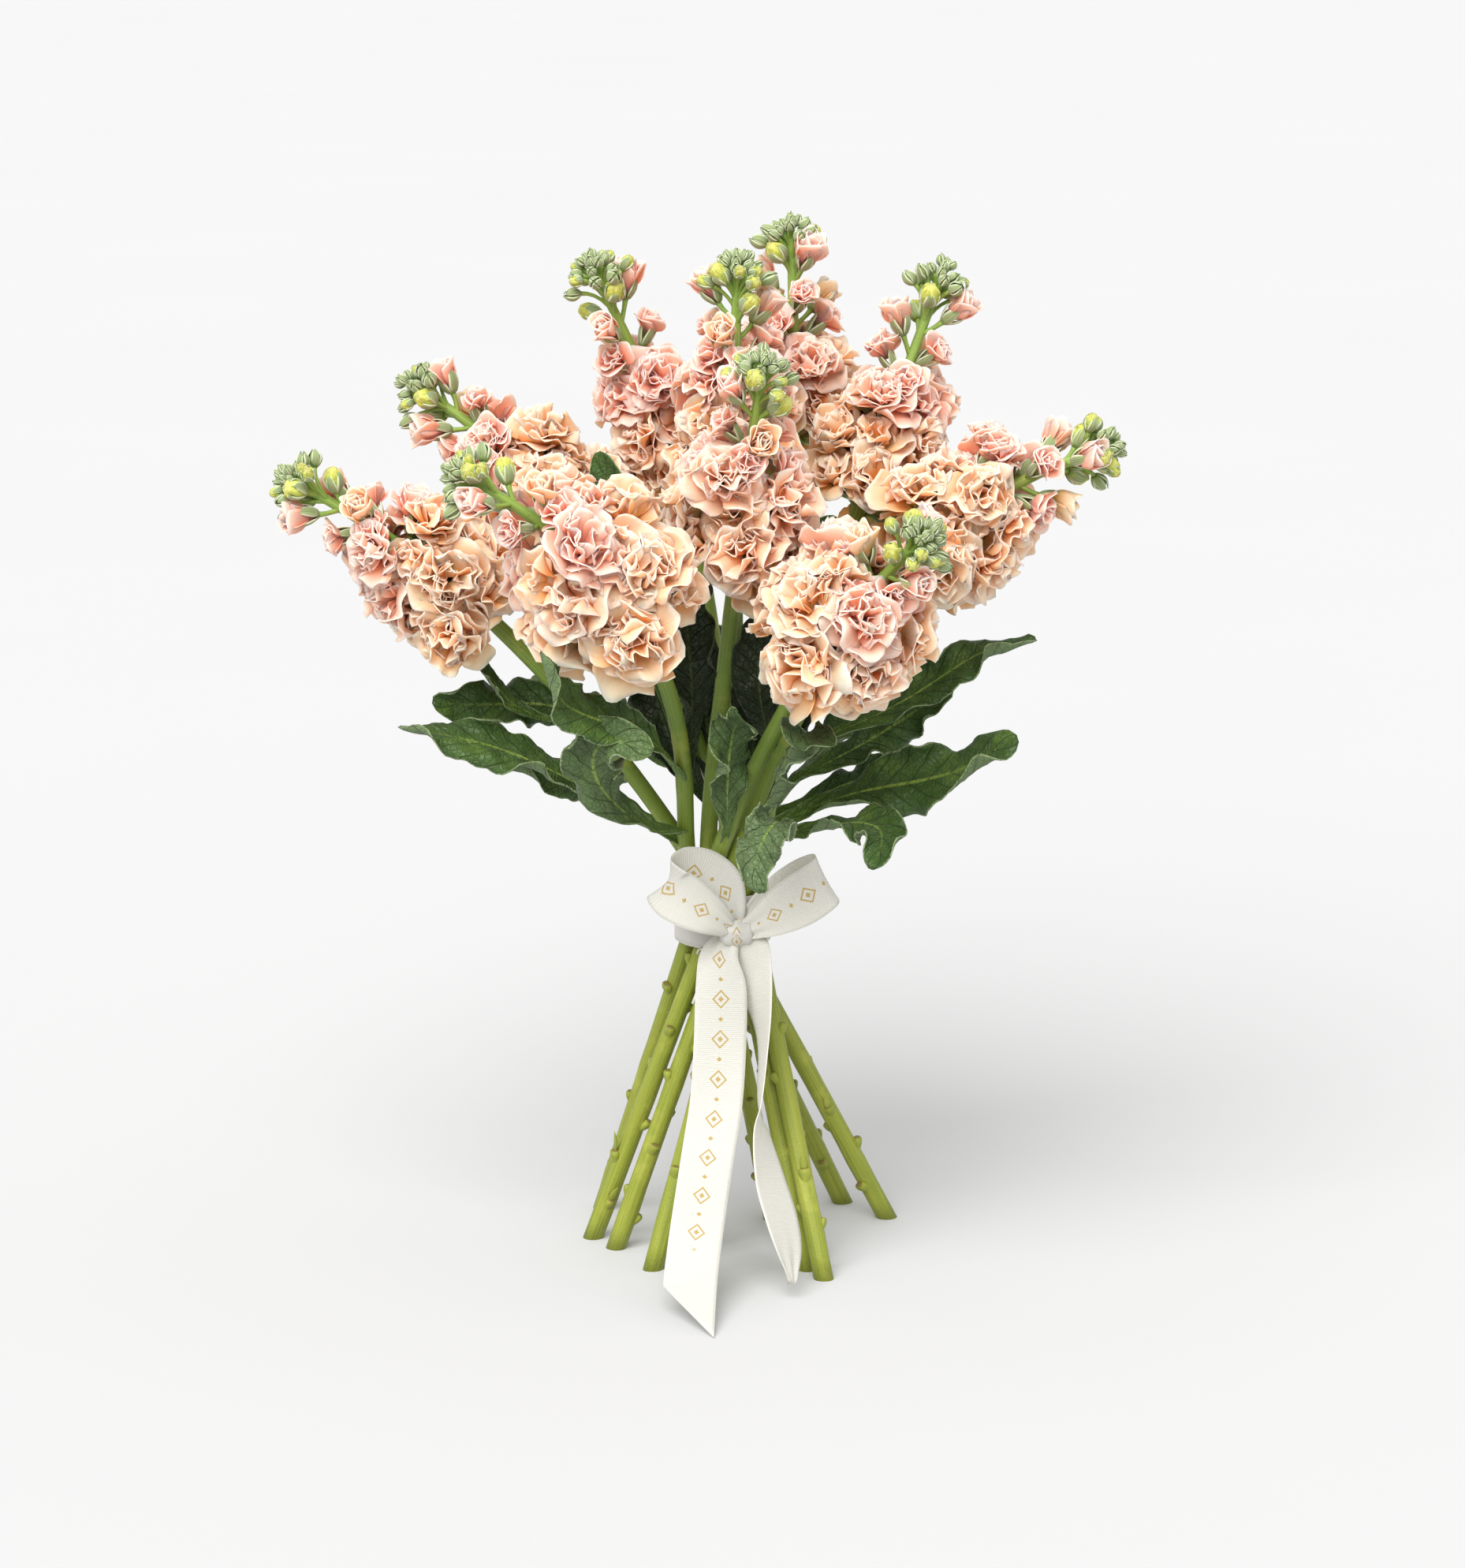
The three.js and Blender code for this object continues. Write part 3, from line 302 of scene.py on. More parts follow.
def through_all(points, t):
    """A smooth line through all points, with t from 0 to 1."""
    last = len(points) - 1
    at = min(max(t, 0.0), 1.0) * last
    i = min(int(at), last - 1)
    s = at - i
    before = points[max(i - 1, 0)]
    after = points[min(i + 2, last)]
    a, b = points[i], points[i + 1]
    rise_a = (b - before) / 2
    rise_b = (after - a) / 2
    return (a * (2 * s ** 3 - 3 * s * s + 1) + rise_a * (s ** 3 - 2 * s * s + s)
            + b * (3 * s * s - 2 * s ** 3) + rise_b * (s ** 3 - s * s))


def draw_shift(draw):
    """Where a piece reads the noise, so that no two are alike."""
    return Vector((draw(0, 90), draw(0, 90), draw(0, 90)))


def cross_axes(axis, reference=Vector((0, 1, 0))):
    u = axis.cross(reference).normalized()
    v = axis.cross(u).normalized()
    return u, v


def turned(u, v, turn):
    """The direction u, turned towards v."""
    return u * math.cos(turn) + v * math.sin(turn)


# Flower spikes and stems; the steps are those of a stem's line below the tie, above it and on the spike
BELOW_STEPS = 16
ABOVE_STEPS = 18
SPIKE_STEPS = 18


def spike_points(head):
    base, tip = Vector(head.base), Vector(head.tip)
    way = (base - polar(head.waist, TIE_HEIGHT)).normalized()
    start = ((tip - base).normalized() + way).normalized()
    return base, base + start * (tip - base).length * 0.45, tip


def spike_point(head, t):
    return bezier(*spike_points(head), t)


def spike_axis(head, t):
    step = 0.01
    return (spike_point(head, t + step) - spike_point(head, t - step)).normalized()


def spike_out(head, t, turn):
    return turned(*cross_axes(spike_axis(head, t)), turn)


def stem_curve(head):
    """The line from the waist at the tie to the foot of the spike."""
    foot, waist, base = polar(head.foot, 0), polar(head.waist, TIE_HEIGHT), Vector(head.base)
    rise = (waist - foot).normalized()
    span = (base - waist).length
    return waist, waist + rise * span * 0.22, base - spike_axis(head, 0) * span * 0.45, base


def stem_line(head):
    """Centres and radii from the cut end to the tip of the spike."""
    foot, waist = polar(head.foot, 0), polar(head.waist, TIE_HEIGHT)
    line = [foot.lerp(waist, i / BELOW_STEPS) for i in range(BELOW_STEPS)]
    line += [cubic(*stem_curve(head), i / ABOVE_STEPS) for i in range(ABOVE_STEPS)]
    radii = [table_value(STEM_RADII, p.z) for p in line]
    at_base = table_value(STEM_RADII, head.base[2])
    for i in range(SPIKE_STEPS + 1):
        t = 0.95 * i / SPIKE_STEPS
        line.append(spike_point(head, t))
        radii.append(mix(at_base, STEM_TIP_RADIUS, t))
    return line, radii


# Flowers of a spike; a filler is a smaller open flower between two main ones
FILLER_SHARE = 0.86
FILLER_LEAST_RADIUS = 10
Flower = namedtuple("Flower", "kind centre facing u v radius age root seed")


def floret_stand(head):
    return head.reach - 0.55 * head.floret


def free_radius(head, centre, stand):
    """Half of the room between a flower and the nearest other spike, and a little more."""
    room = min((spike_point(other, t * 0.1) - centre).length
               for other in HEADS if other is not head for t in range(-1, 7))
    return (room - stand) / 2 + 3


def flower(kind, centre, facing, radius, age, root, seed):
    facing = facing.normalized()
    u, v = cross_axes(facing, Vector((0.3, 0.2, 0.93)))
    return Flower(kind, centre, facing, u, v, radius, age, root, seed)


def open_flowers(head):
    """The open flowers of the CAD solid, and smaller ones that fill the room between them."""
    draw = Draw(head.seed)
    fill = Draw(head.seed + 9)
    found = []
    for step in range(2 * head.florets - 1):
        main = step % 2 == 0
        share = (step / 2 + 0.5) / head.florets
        t = BLOOM_ZONE * share - 0.03
        source = draw if main else fill
        lean = math.radians(mix(82, 38, share) + source(-7, 7))
        full = head.floret * (1 - 0.26 * share) * source(0.95, 1.06)
        axis = spike_axis(head, t)
        out = spike_out(head, t, head.seed + step / 2 * GOLDEN_ANGLE)
        stand = floret_stand(head) * (1 - 0.22 * share)
        centre = spike_point(head, t) + out * stand * (1 if main else FILLER_SHARE)
        facing = turned(axis, out, lean)
        radius = min(full, free_radius(head, centre, stand)) * (1 if main else FILLER_SHARE)
        if radius > (FLORET_LEAST_RADIUS if main else FILLER_LEAST_RADIUS):
            root = spike_point(head, t - 0.1)
            kind = "open" if main else "filler"
            age = share + fill(-0.25, 0.3)
            facing = facing + out.cross(axis) * fill(-0.4, 0.4) + axis * fill(-0.35, 0.2)
            found.append(flower(kind, centre, facing, radius * FULLNESS[kind], age, root,
                                head.seed + 37 * step))
    return found


def young_flowers(head):
    """Smaller flowers that close the head towards the buds."""
    draw = Draw(head.seed + 900)
    found = []
    for k in range(YOUNG_ROW.count):
        share = k / (YOUNG_ROW.count - 1)
        t = mix(YOUNG_ROW.start, YOUNG_ROW.end, share)
        out = spike_out(head, t, head.seed + 2.3 + k * GOLDEN_ANGLE)
        lean = math.radians(mix(*YOUNG_ROW.lean, share) + draw(-8, 8))
        centre = spike_point(head, t) + out * mix(*YOUNG_ROW.stand, share)
        facing = turned(spike_axis(head, t), out, lean)
        radius = YOUNG_ROW.size * mix(1.08, 0.8, share) * draw(0.92, 1.08)
        found.append(flower("young", centre, facing, radius, 0.7 + 0.4 * share,
                            spike_point(head, t - 0.08), head.seed + 41 * k))
    return found


def upper_flowers(head):
    """Half-open flowers and, above them, buds that show their petals."""
    draw = Draw(head.seed + 500)
    found = []
    for row in UPPER_ROWS:
        for k in range(row.count):
            share = k / (row.count - 1)
            t = mix(row.start, row.end, share)
            out = spike_out(head, t, head.seed + 1.1 + len(found) * GOLDEN_ANGLE)
            stand = mix(*row.stand, share) + draw(-1.2, 1.2)
            lean = math.radians(mix(*row.lean, share))
            facing = turned(spike_axis(head, t), out, lean)
            size = row.size * draw(0.92, 1.1)
            foot = spike_point(head, t) + out * stand * 0.55
            root = spike_point(head, t - 0.07)
            found.append(flower(row.kind, foot, facing, size, share, root, head.seed + 61 * k))
    return found


# Rings of the tip: number of buds, stand from the axis, rise along it, how far they turn outwards
# and their radius. Small buds are all shut, and this share of the others.
SHUT_SHARE = 0.6
LEAST_OPEN_BUD = 2.35
TIP_RINGS = ((4, 2.5, 4.2, 0.5, 2.1), (6, 5.2, 1.8, 0.76, 2.3), (7, 8.2, -1.6, 0.86, 2.6),
             (4, 11.4, -6.0, 0.9, 3.1))


def tip_flowers(head):
    """The tight cluster of buds at the tip of a spike."""
    draw = Draw(head.seed + 700)
    axis = spike_axis(head, 0.97)
    low = spike_point(head, 0.92)
    found = [flower("bud", low + axis * 5.1, axis, 2.0, 1, spike_point(head, 0.85), head.seed + 3)]
    for ring, (count, stand, rise, spread, size) in enumerate(TIP_RINGS):
        for i in range(count):
            out = spike_out(head, 0.97, 2 * math.pi * (i + 0.4 * ring) / count + draw(-0.3, 0.3))
            place = low + out * (stand + draw(-1.0, 1.0)) + axis * (rise + draw(-1.8, 1.8))
            facing = axis * math.sqrt(1 - spread * spread) + out * spread
            found.append(flower("bud", place, facing, size * draw(0.88, 1.1), 1,
                                spike_point(head, 0.86 - 0.035 * ring), head.seed + 7 * i + ring))
    return found


# Meshes: a skin is a grid whose points are put in place by a formula
MARKS = ("along", "across", "tone", "age")


def new_mesh():
    bm = bmesh.new()
    for mark in MARKS:
        bm.verts.layers.float.new(mark)
    return bm


def skin(bm, columns, rows, place, tone=0.0, age=0.0):
    """A grid put at place(u, v), for u from -1 to 1 and v from 0 to 1."""
    layers = [bm.verts.layers.float[mark] for mark in MARKS]
    made = bmesh.ops.create_grid(bm, x_segments=columns, y_segments=rows, size=1.0)
    for vert in made["verts"]:
        u, v = vert.co.x, (vert.co.y + 1) / 2
        for layer, value in zip(layers, (v, u, tone, age)):
            vert[layer] = value
        vert.co = place(u, v)
    return made["verts"]


def tube(bm, line, radii, sides, tone=0.0, age=0.0, bumps=None, flat_foot=False):
    """A closed tube along a line; its two ends are closed by a fan of faces."""
    last = len(line) - 1
    axes = [(line[min(i + 1, last)] - line[max(i - 1, 0)]).normalized() for i in range(last + 1)]
    frames = [cross_axes(axis) for axis in axes]
    caps = last + 2

    def place(u, v):
        row = round(v * caps) - 1
        i = min(max(row, 0), last)
        angle = (u + 1) * math.pi
        radius = 0.0 if row != i else radii[i] * (1 if bumps is None else bumps(angle, i / last))
        point = line[i] + turned(*frames[i], angle) * radius
        if flat_foot and i == 0:
            point -= axes[0] * (point.z / axes[0].z)
        return point

    return skin(bm, sides, caps, place, tone, age)


def new_object(name, bm, material):
    mesh = bpy.data.meshes.new(name)
    bm.to_mesh(mesh)
    bm.free()
    mesh.materials.append(material)
    made = bpy.data.objects.new(name, mesh)
    bpy.context.scene.collection.objects.link(made)
    return made


def finish_mesh(bm, name, material, replaces=(), thickness=0.0, offset=0.0):
    """Merges the seams, moves the mesh into the frame and makes the piece."""
    bmesh.ops.remove_doubles(bm, verts=bm.verts, dist=SEAM)
    if not thickness:
        bmesh.ops.recalc_face_normals(bm, faces=bm.faces)
    bmesh.ops.translate(bm, verts=bm.verts, vec=ORIGIN_SHIFT)
    bmesh.ops.scale(bm, verts=bm.verts, vec=Vector((MM, MM, MM)))
    piece = new_object(name, bm, material)
    piece.data.shade_smooth()
    if thickness:
        wall = piece.modifiers.new("wall", "SOLIDIFY")
        wall.thickness = thickness * MM
        wall.offset = offset
    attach(piece, BODY)
    if replaces:
        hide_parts(*replaces)
    return piece


# Petals
PETAL_COLUMNS = 11
PETAL_ROWS = 5


def stray(bloom, wild, draw):
    """The flower's axis, turned a little for one petal."""
    across = bloom.u * draw(-0.24, 0.24) + bloom.v * draw(-0.24, 0.24)
    return (bloom.facing + across * wild).normalized()


def petal(bm, bloom, whorl, turn, draw, crumple):
    wild, size = WILD[bloom.kind], bloom.radius
    length = whorl.length * size * (1 + wild * draw(-0.26, 0.16))
    half = whorl.width * size * (1 + wild * draw(-0.2, 0.22)) / 2
    start = math.radians(whorl.start + wild * draw(-12, 12))
    end = math.radians(whorl.end + wild * draw(-30, 22))
    facing = stray(bloom, wild, draw)
    out = turned(bloom.u, bloom.v, turn)
    out = (out - facing * out.dot(facing)).normalized()
    foot = bloom.centre + bloom.facing * whorl.foot * size + out * size * 0.05
    bend = foot + turned(facing, out, start) * length / 2
    tip = bend + turned(facing, out, end) * length / 2
    way = (tip - foot).normalized()
    tilt, twist = math.radians(draw(-20, 20)), math.radians(wild * draw(-34, 34))
    side = out.cross(facing).normalized()
    phase, waves, skew = draw(0, 2), whorl.waves * draw(0.75, 1.25), draw(-0.2, 0.2)
    bow, lobe = wild * draw(-0.2, 0.18), draw(0, 6)
    shift = draw_shift(draw)

    def place(u, v):
        v = 1 - (1 - v) ** 1.25
        reach = v * (1 - 0.28 * abs(u) ** 2.2 * v + 0.03 * v * math.sin(4 * u + lobe))
        breadth = half * (0.18 + 0.82 * ease(v / 0.62)) * (1 - 0.08 * ease((v - 0.8) / 0.2))
        across = Matrix.Rotation(tilt + twist * v, 3, way) @ side
        normal = across.cross(bezier_slope(foot, bend, tip, reach)).normalized()
        ripple = math.sin(math.pi * (waves * u + phase))
        lift = size * v * ((whorl.cup + bow) * u * u + whorl.ruffle * v * ripple * (0.45 + 0.55 * abs(u)))
        point = bezier(foot, bend, tip, reach) + across * breadth * (u + skew * v) + normal * lift
        broad = noise.noise_vector(point * 0.07 + shift)
        fine = noise.noise_vector(point * 0.2 + shift)
        return point + (broad + fine * 0.26 * v) * crumple * size * (0.3 + 0.7 * v)

    skin(bm, PETAL_COLUMNS, PETAL_ROWS, place, draw(0, 1), bloom.age)


def petals_of(bm, bloom, whorls, crumple):
    draw = Draw(bloom.seed)
    loose = 0.4 + 0.3 * WILD[bloom.kind]
    for level, whorl in enumerate(whorls):
        for i in range(whorl.count):
            turn = 2 * math.pi * (i + 0.5 * level) / whorl.count + draw(-loose, loose)
            petal(bm, bloom, whorl, turn, draw, crumple)


# Green parts of the flowers
SEPAL_COUNT = 4
BUD_STEPS = 9


def stalk(bm, root, foot, facing, radius, tone):
    reach = (foot - root).length
    bend = foot - facing * reach * 0.45
    line = [bezier(root, bend, foot, i / 5) for i in range(6)]
    tube(bm, line, [radius * r for r in (1.25, 1, 0.92, 0.9, 1, 1.25)], 7, tone)


def sepals(bm, bloom, foot, length, girth, draw, spread=0.0, close=0.62):
    """Boat-shaped sepals that hug the flower from its foot upwards."""
    for i in range(SEPAL_COUNT):
        turn = 2 * math.pi * (i + draw(-0.1, 0.1)) / SEPAL_COUNT + 0.4
        out = turned(bloom.u, bloom.v, turn)
        side = out.cross(bloom.facing).normalized()
        wide = girth * draw(0.55, 0.68)
        bulge = draw(-0.08, 0.12)

        def place(u, v):
            swell = math.sin(math.pi * (0.12 + close * v)) * girth + spread * v * v
            breadth = wide * (0.5 + 0.5 * ease(v / 0.3)) * (1 - v ** 3) ** 0.6
            inward = breadth * breadth * u * u * 0.45 / girth
            rise = length * (v + bulge * v * v)
            return foot + bloom.facing * rise + out * (swell - inward) + side * breadth * u

        skin(bm, 4, 6, place, draw(0, 1))


def bud_body(bm, bloom, length, girth, draw, green=0.0):
    """The folded petals inside a bud: a blunt form with spiral creases at its top."""
    steps = range(BUD_STEPS + 1)
    line = [bloom.centre + bloom.facing * length * i / BUD_STEPS for i in steps]
    radii = [girth * math.sin(math.pi * (0.08 + 0.86 * i / BUD_STEPS)) ** 0.55 for i in steps]
    turn = draw(0, 6)

    def bumps(angle, v):
        return 1 + 0.22 * ease((v - 0.4) / 0.35) * math.sin(5 * angle + 4 * v + turn)

    tube(bm, line, radii, 15, draw(0, 1), green, bumps)


def calyxes_and_stalks(head):
    """Meshes of a spike's stalks, of its sepals and of its buds' petals."""
    greens, sepal_sheets, bodies = new_mesh(), new_mesh(), new_mesh()
    for bloom in open_flowers(head) + young_flowers(head):
        draw = Draw(bloom.seed + 5)
        foot = bloom.centre - bloom.facing * (0.34 * bloom.radius + 7)
        stalk(greens, bloom.root, foot, bloom.facing, 1.25, draw(0, 1))
        sepals(sepal_sheets, bloom, foot, 11.5, 3.4, draw, spread=1.6)
    for bloom in upper_flowers(head):
        draw = Draw(bloom.seed + 5)
        stalk(greens, bloom.root, bloom.centre, bloom.facing, 1.3, draw(0, 1))
        if bloom.kind == "half":
            sepals(sepal_sheets, bloom, bloom.centre, 10.5, 4.6, draw, spread=1.2)
        else:
            sepals(sepal_sheets, bloom, bloom.centre, 9.8, bloom.radius * 1.2, draw)
            bud_body(bodies, bloom, 12.2, bloom.radius * 1.16, draw)
    for bloom in tip_flowers(head):
        draw = Draw(bloom.seed + 5)
        stalk(greens, bloom.root, bloom.centre, bloom.facing, 1.0, draw(0, 1))
        shut = draw(0, 1) < SHUT_SHARE or bloom.radius < LEAST_OPEN_BUD
        length, close = (2.7, 0.8) if shut else (2.2, 0.62)
        body_length, body_girth = (2.35, 0.88) if shut else (2.7, 1.02)
        size = bloom.radius
        sepals(sepal_sheets, bloom, bloom.centre, length * size, size * 1.1, draw, close=close)
        bud_body(bodies, bloom, body_length * size, body_girth * size, draw, 0.9 if shut else 0.1)
    return greens, sepal_sheets, bodies


# Stems
SCAR_PLACES = (0.12, 0.2, 0.3, 0.4, 0.52, 0.64, 0.77, 0.9)
# Rings of a scar: depth under the skin of the stem, share of the scar's height, rise along the stem
SCAR_RINGS = ((-2.6, 0, -8), (-1.5, 0, -4), (-0.8, 0.4, -1.2), (-0.9, 1, 0.8), (-0.6, 1, 1.5))
LEAFLET_FROM = 0.86
LEAFLET_STEPS = 7


def leaf_scars(bm, head):
    """Swellings that end in a small ledge where the lower leaves were stripped off."""
    draw = Draw(head.seed + 71)
    foot, waist = polar(head.foot, 0), polar(head.waist, TIE_HEIGHT)
    axis = (waist - foot).normalized()
    u, v = cross_axes(axis)
    for i, place in enumerate(SCAR_PLACES):
        out = turned(u, v, head.seed + i * GOLDEN_ANGLE)
        at = foot.lerp(waist, place + draw(-0.04, 0.04))
        radius = table_value(STEM_RADII, at.z)
        side = axis.cross(out)
        proud, wide = draw(1.2, 2.3), draw(1.8, 2.5)
        line = [at + out * (radius + depth + proud * share) + axis * rise
                for depth, share, rise in SCAR_RINGS]
        made = tube(bm, line, [1.2, wide * 0.75, wide, wide * 0.95, wide * 0.55], 9, draw(0, 1), 1.0)
        for vert in made:
            vert.co += side * (vert.co - at).dot(side) * 0.3
        if draw(0, 1) > LEAFLET_FROM:
            leaflet(bm, at + out * (radius + 0.4), axis, out, side, draw)


def leaflet(bm, foot, axis, out, side, draw):
    """A small new leaf that grows above a scar."""
    length, lean = draw(7, 12), draw(0.25, 0.6)
    rise, reach = axis * length, out * lean * length
    shares = [i / LEAFLET_STEPS for i in range(LEAFLET_STEPS + 1)]
    line = [foot + rise * share + reach * share ** 1.5 for share in shares]
    girths = [1.5 * math.sin(math.pi * (0.14 + 0.84 * share)) for share in shares]
    made = tube(bm, line, girths, 8, 1.0)
    for vert in made:
        depth = (vert.co - foot).dot(out) - lean * (vert.co - foot).dot(axis) * 0.7
        vert.co -= out * depth * 0.5
        vert.co += side * (vert.co - foot).dot(side) * 0.3


def stem_tube(bm, head):
    """The ridged stem with its knees, flat where it stands."""
    line, radii = stem_line(head)
    draw = Draw(head.seed + 13)
    turn, ridge = draw(0, 6), draw(0.015, 0.035)
    joints = [draw(0.02, 0.06) + i * 0.115 for i in range(8)]

    def bumps(angle, v):
        knee = max(math.exp(-((v - joint) / 0.012) ** 2) for joint in joints)
        return 1 + ridge * math.sin(3 * angle + turn + 2 * v) + 0.06 * knee

    return tube(bm, line, radii, 16, draw(0, 1), 0.0, bumps, flat_foot=True)


# Leaves
# The leaves with a crinkled blade, and how much more it is crinkled; the leaves in the middle, whose blades
# get painted shade: darkened as if deep in the shadow of the bunch
CRISP_LEAVES = {5: 1.6, 7: 1.3, 8: 1.4, 9: 2.0}
SHADED_INNER_LEAVES = (16, 17, 24, 25, 26, 27)
LEAF_COLUMNS = 14
LEAF_ROWS = 54


def leaf_seat(foot):
    """The nearest point on the axis of a stem, where the leaf grows."""
    best = foot
    least = math.inf
    for head in HEADS:
        line, _ = stem_line(head)
        for point in line:
            if (point - foot).length < least:
                best, least = point, (point - foot).length
    return best


def leaf_share(v):
    """Width of the blade along its length: a stalk, then a long oval."""
    if v < 0.62:
        return 0.2 + 0.8 * ease((v - 0.08) / 0.5)
    return 0.12 + 0.88 * (1 - ((v - 0.62) / 0.38) ** 2.2) ** 0.6


def leaf_blade(bm, leaf, index):
    points = [leaf_seat(Vector(leaf.line[0]))] + [Vector(p) for p in leaf.line[1:]]
    face = Vector(leaf.face)
    draw = Draw(4001 + 17 * index)
    shift = draw_shift(draw)
    curl, roll_in, hook = draw(0.3, 0.6), draw(0.5, 1.1), draw(-0.25, 0.45)
    sway, beat = draw(0, 6), draw(2.2, 3.6)
    crisp = CRISP_LEAVES.get(index, 1.0)

    def place(u, v):
        centre = through_four(points, v)
        axis = (through_four(points, v + 0.01) - through_four(points, v - 0.01)).normalized()
        side = axis.cross(face).normalized()
        roll = math.radians(mix(*leaf.roll, v))
        side = Matrix.Rotation(roll, 3, axis) @ side
        normal = side.cross(axis).normalized()
        share = leaf_share(v)
        edge = abs(u) ** 1.15
        offset = 0.0 if u < 0 else 0.42
        turn = 2 * math.pi * (leaf.waves * v + leaf.phase + offset)
        ripple = math.sin(turn) + 0.5 * math.sin(2.3 * turn + index)
        bend = curl + 0.31 * leaf.wave * ripple * edge
        bend += roll_in * edge * edge * math.sin(beat * v * math.pi + sway + offset * 9)
        angle = bend * edge + 0.001
        span = leaf.width / 2 * share * edge * 1.06
        aside, lift = span * math.sin(angle) / angle, span * (1 - math.cos(angle)) / angle
        lift += share * 1.6 * math.sin(2 * beat * v + sway) + hook * leaf.width * ease((v - 0.7) / 0.3) * v
        lift += share * edge ** 5 * 0.6 * math.sin(5.2 * turn + sway)
        point = centre + side * math.copysign(aside, u) + normal * lift
        crinkle = noise.noise(point * 0.12 + shift) * 2.0
        crinkle += noise.noise(point * 0.3 + shift) * (2.4 * crisp - 1.4)
        return point + normal * crinkle * share * min(edge * 3, 1)

    weights = bm.verts.layers.deform.new("rib")
    # Painted shade: the leaves in the middle get a tone mark of 1, which darkens their blades towards
    # black-green
    deep = 1.0 if index in SHADED_INNER_LEAVES else 0.0
    verts = skin(bm, LEAF_COLUMNS, LEAF_ROWS, place, deep, crisp - 1)
    along, across = bm.verts.layers.float["along"], bm.verts.layers.float["across"]
    for vert in verts:
        rib = math.exp(-(vert[across] / 0.12) ** 2) * (1 - 0.8 * vert[along])
        vert[weights][0] = 0.26 + 0.74 * rib


# Ribbon and string
STRIP_STEPS = 48
STRIP_COLUMNS = 12
STRING_TURNS = 12
STRING_STEPS = 40
STRING_RADIUS = 0.62


def strip_edges(rows, tip=None):
    """The left and right edge of a strip, from its rows."""
    left, right = [], []
    for i, (at, across, width) in enumerate(rows):
        at, across = Vector(at), Vector(across)
        before, after = Vector(rows[max(i - 1, 0)][0]), Vector(rows[min(i + 1, len(rows) - 1)][0])
        way = (after - before).normalized()
        across = (across - way * across.dot(way)).normalized()
        left.append(at - across * width / 2)
        right.append(at + across * width / 2)
    if tip:
        left.append(Vector(tip[0]))
        right.append(Vector(tip[1]))
    return left, right


def stretch_along(bm, verts, length):
    """Turns the mark along a strip from a share into millimetres."""
    along = bm.verts.layers.float["along"]
    for vert in verts:
        vert[along] *= length


def ribbon_strip(bm, rows, start, tip=None, plain=0.0):
    """A strip of ribbon; its last part, plain millimetres long, has no motif."""
    left, right = strip_edges(rows, tip)
    middle = [(a + b) / 2 for a, b in zip(left, right)]
    rows_at = [through_all(middle, i / STRIP_STEPS) for i in range(STRIP_STEPS + 1)]
    run = [0.0]
    for a, b in zip(rows_at, rows_at[1:]):
        run.append(run[-1] + (b - a).length)

    def place(u, v):
        a, b = through_all(left, v), through_all(right, v)
        wide = (b - a).length
        way = through_all(middle, v + 0.01) - through_all(middle, v - 0.01)
        normal = (b - a).cross(way).normalized()
        spare = max(0.0, 1 - wide / RIBBON_WIDTH)
        pleat = spare * math.sin(7 * u + start) * 1.6
        curl = 0.5 * (1 - u * u) * math.sin(3 * v + start)
        return a.lerp(b, (u + 1) / 2) + normal * (pleat + curl)

    verts = skin(bm, STRIP_COLUMNS, STRIP_STEPS, place)
    along, bare = bm.verts.layers.float["along"], bm.verts.layers.float["tone"]
    for vert in verts:
        at = run[round(vert[along] * STRIP_STEPS)]
        vert[along] = start * 10 + at
        vert[bare] = ease((at - run[-1] + plain) / 3)
    return run[-1]


def ribbon_band(bm):
    """The strip wound round the stems, a little tilted and waved."""
    def place(u, v):
        angle = 2 * math.pi * v
        height = mix(BAND["low"], BAND["high"], (u + 1) / 2)
        radius = BAND["radius"] + 0.25 * math.sin(3 * angle + 2 * u)
        centre = Vector((TIE_CENTRE_X, 0, height + 0.5 * math.sin(angle)))
        return centre + Vector((math.cos(angle), math.sin(angle), 0)) * radius

    stretch_along(bm, skin(bm, 8, 72, place), 2 * math.pi * BAND["radius"])


def ribbon_knot(bm):
    """The strip drawn tight over the knot, with folds across it."""
    def place(u, v):
        angle = 2 * math.pi * v
        narrow = math.sqrt(1 - (0.86 * u) ** 2)
        fold = 1 + 0.06 * math.sin(9 * u + 1) + 0.04 * math.sin(3 * angle + 4 * u)
        return KNOT_CENTRE + Vector((KNOT_SIZE.x * u * 0.95,
                                     -KNOT_SIZE.y * math.cos(angle) * narrow * fold,
                                     KNOT_SIZE.z * math.sin(angle) * narrow * fold))

    stretch_along(bm, skin(bm, STRIP_COLUMNS, 28, place), 2 * math.pi * KNOT_SIZE.z)


def string_coil(bm):
    count = STRING_TURNS * STRING_STEPS
    draw = Draw(77)
    line = []
    for i in range(count + 1):
        turn = 2 * math.pi * i / STRING_STEPS
        height = mix(BINDING["low"] + STRING_RADIUS, BINDING["high"] - STRING_RADIUS, i / count)
        line.append(round_tie(turn, BINDING["radius"] + draw(-0.05, 0.05), height))
    tube(bm, line, [STRING_RADIUS] * len(line), 6)


def string_knot(bm):
    """The tied ends of the string, just under the band at the front left."""
    turn = math.radians(244)
    out = Vector((math.cos(turn), math.sin(turn), 0))
    side = Vector((-out.y, out.x, 0))
    centre = Vector((TIE_CENTRE_X, 0, 151.6)) + out * (BINDING["radius"] + 0.9)
    for way, drop in ((1, -1.5), (-1, -2.6), (0.3, -3.4)):
        line = [centre - side * way * 1.5, centre + out * 0.7 + side * way * 1.2,
                centre + out * 0.2 + side * way * 2.6 + Vector((0, 0, drop))]
        smooth = [through_all(line, i / 8) for i in range(9)]
        tube(bm, smooth, [0.6] * 8 + [0.35], 6)


# Node materials
def linear(colour):
    """An sRGB colour, from 0 to 255, as linear RGBA."""
    shares = [c / 255 for c in colour]
    return [c / 12.92 if c <= 0.04045 else ((c + 0.055) / 1.055) ** 2.4 for c in shares] + [1.0]


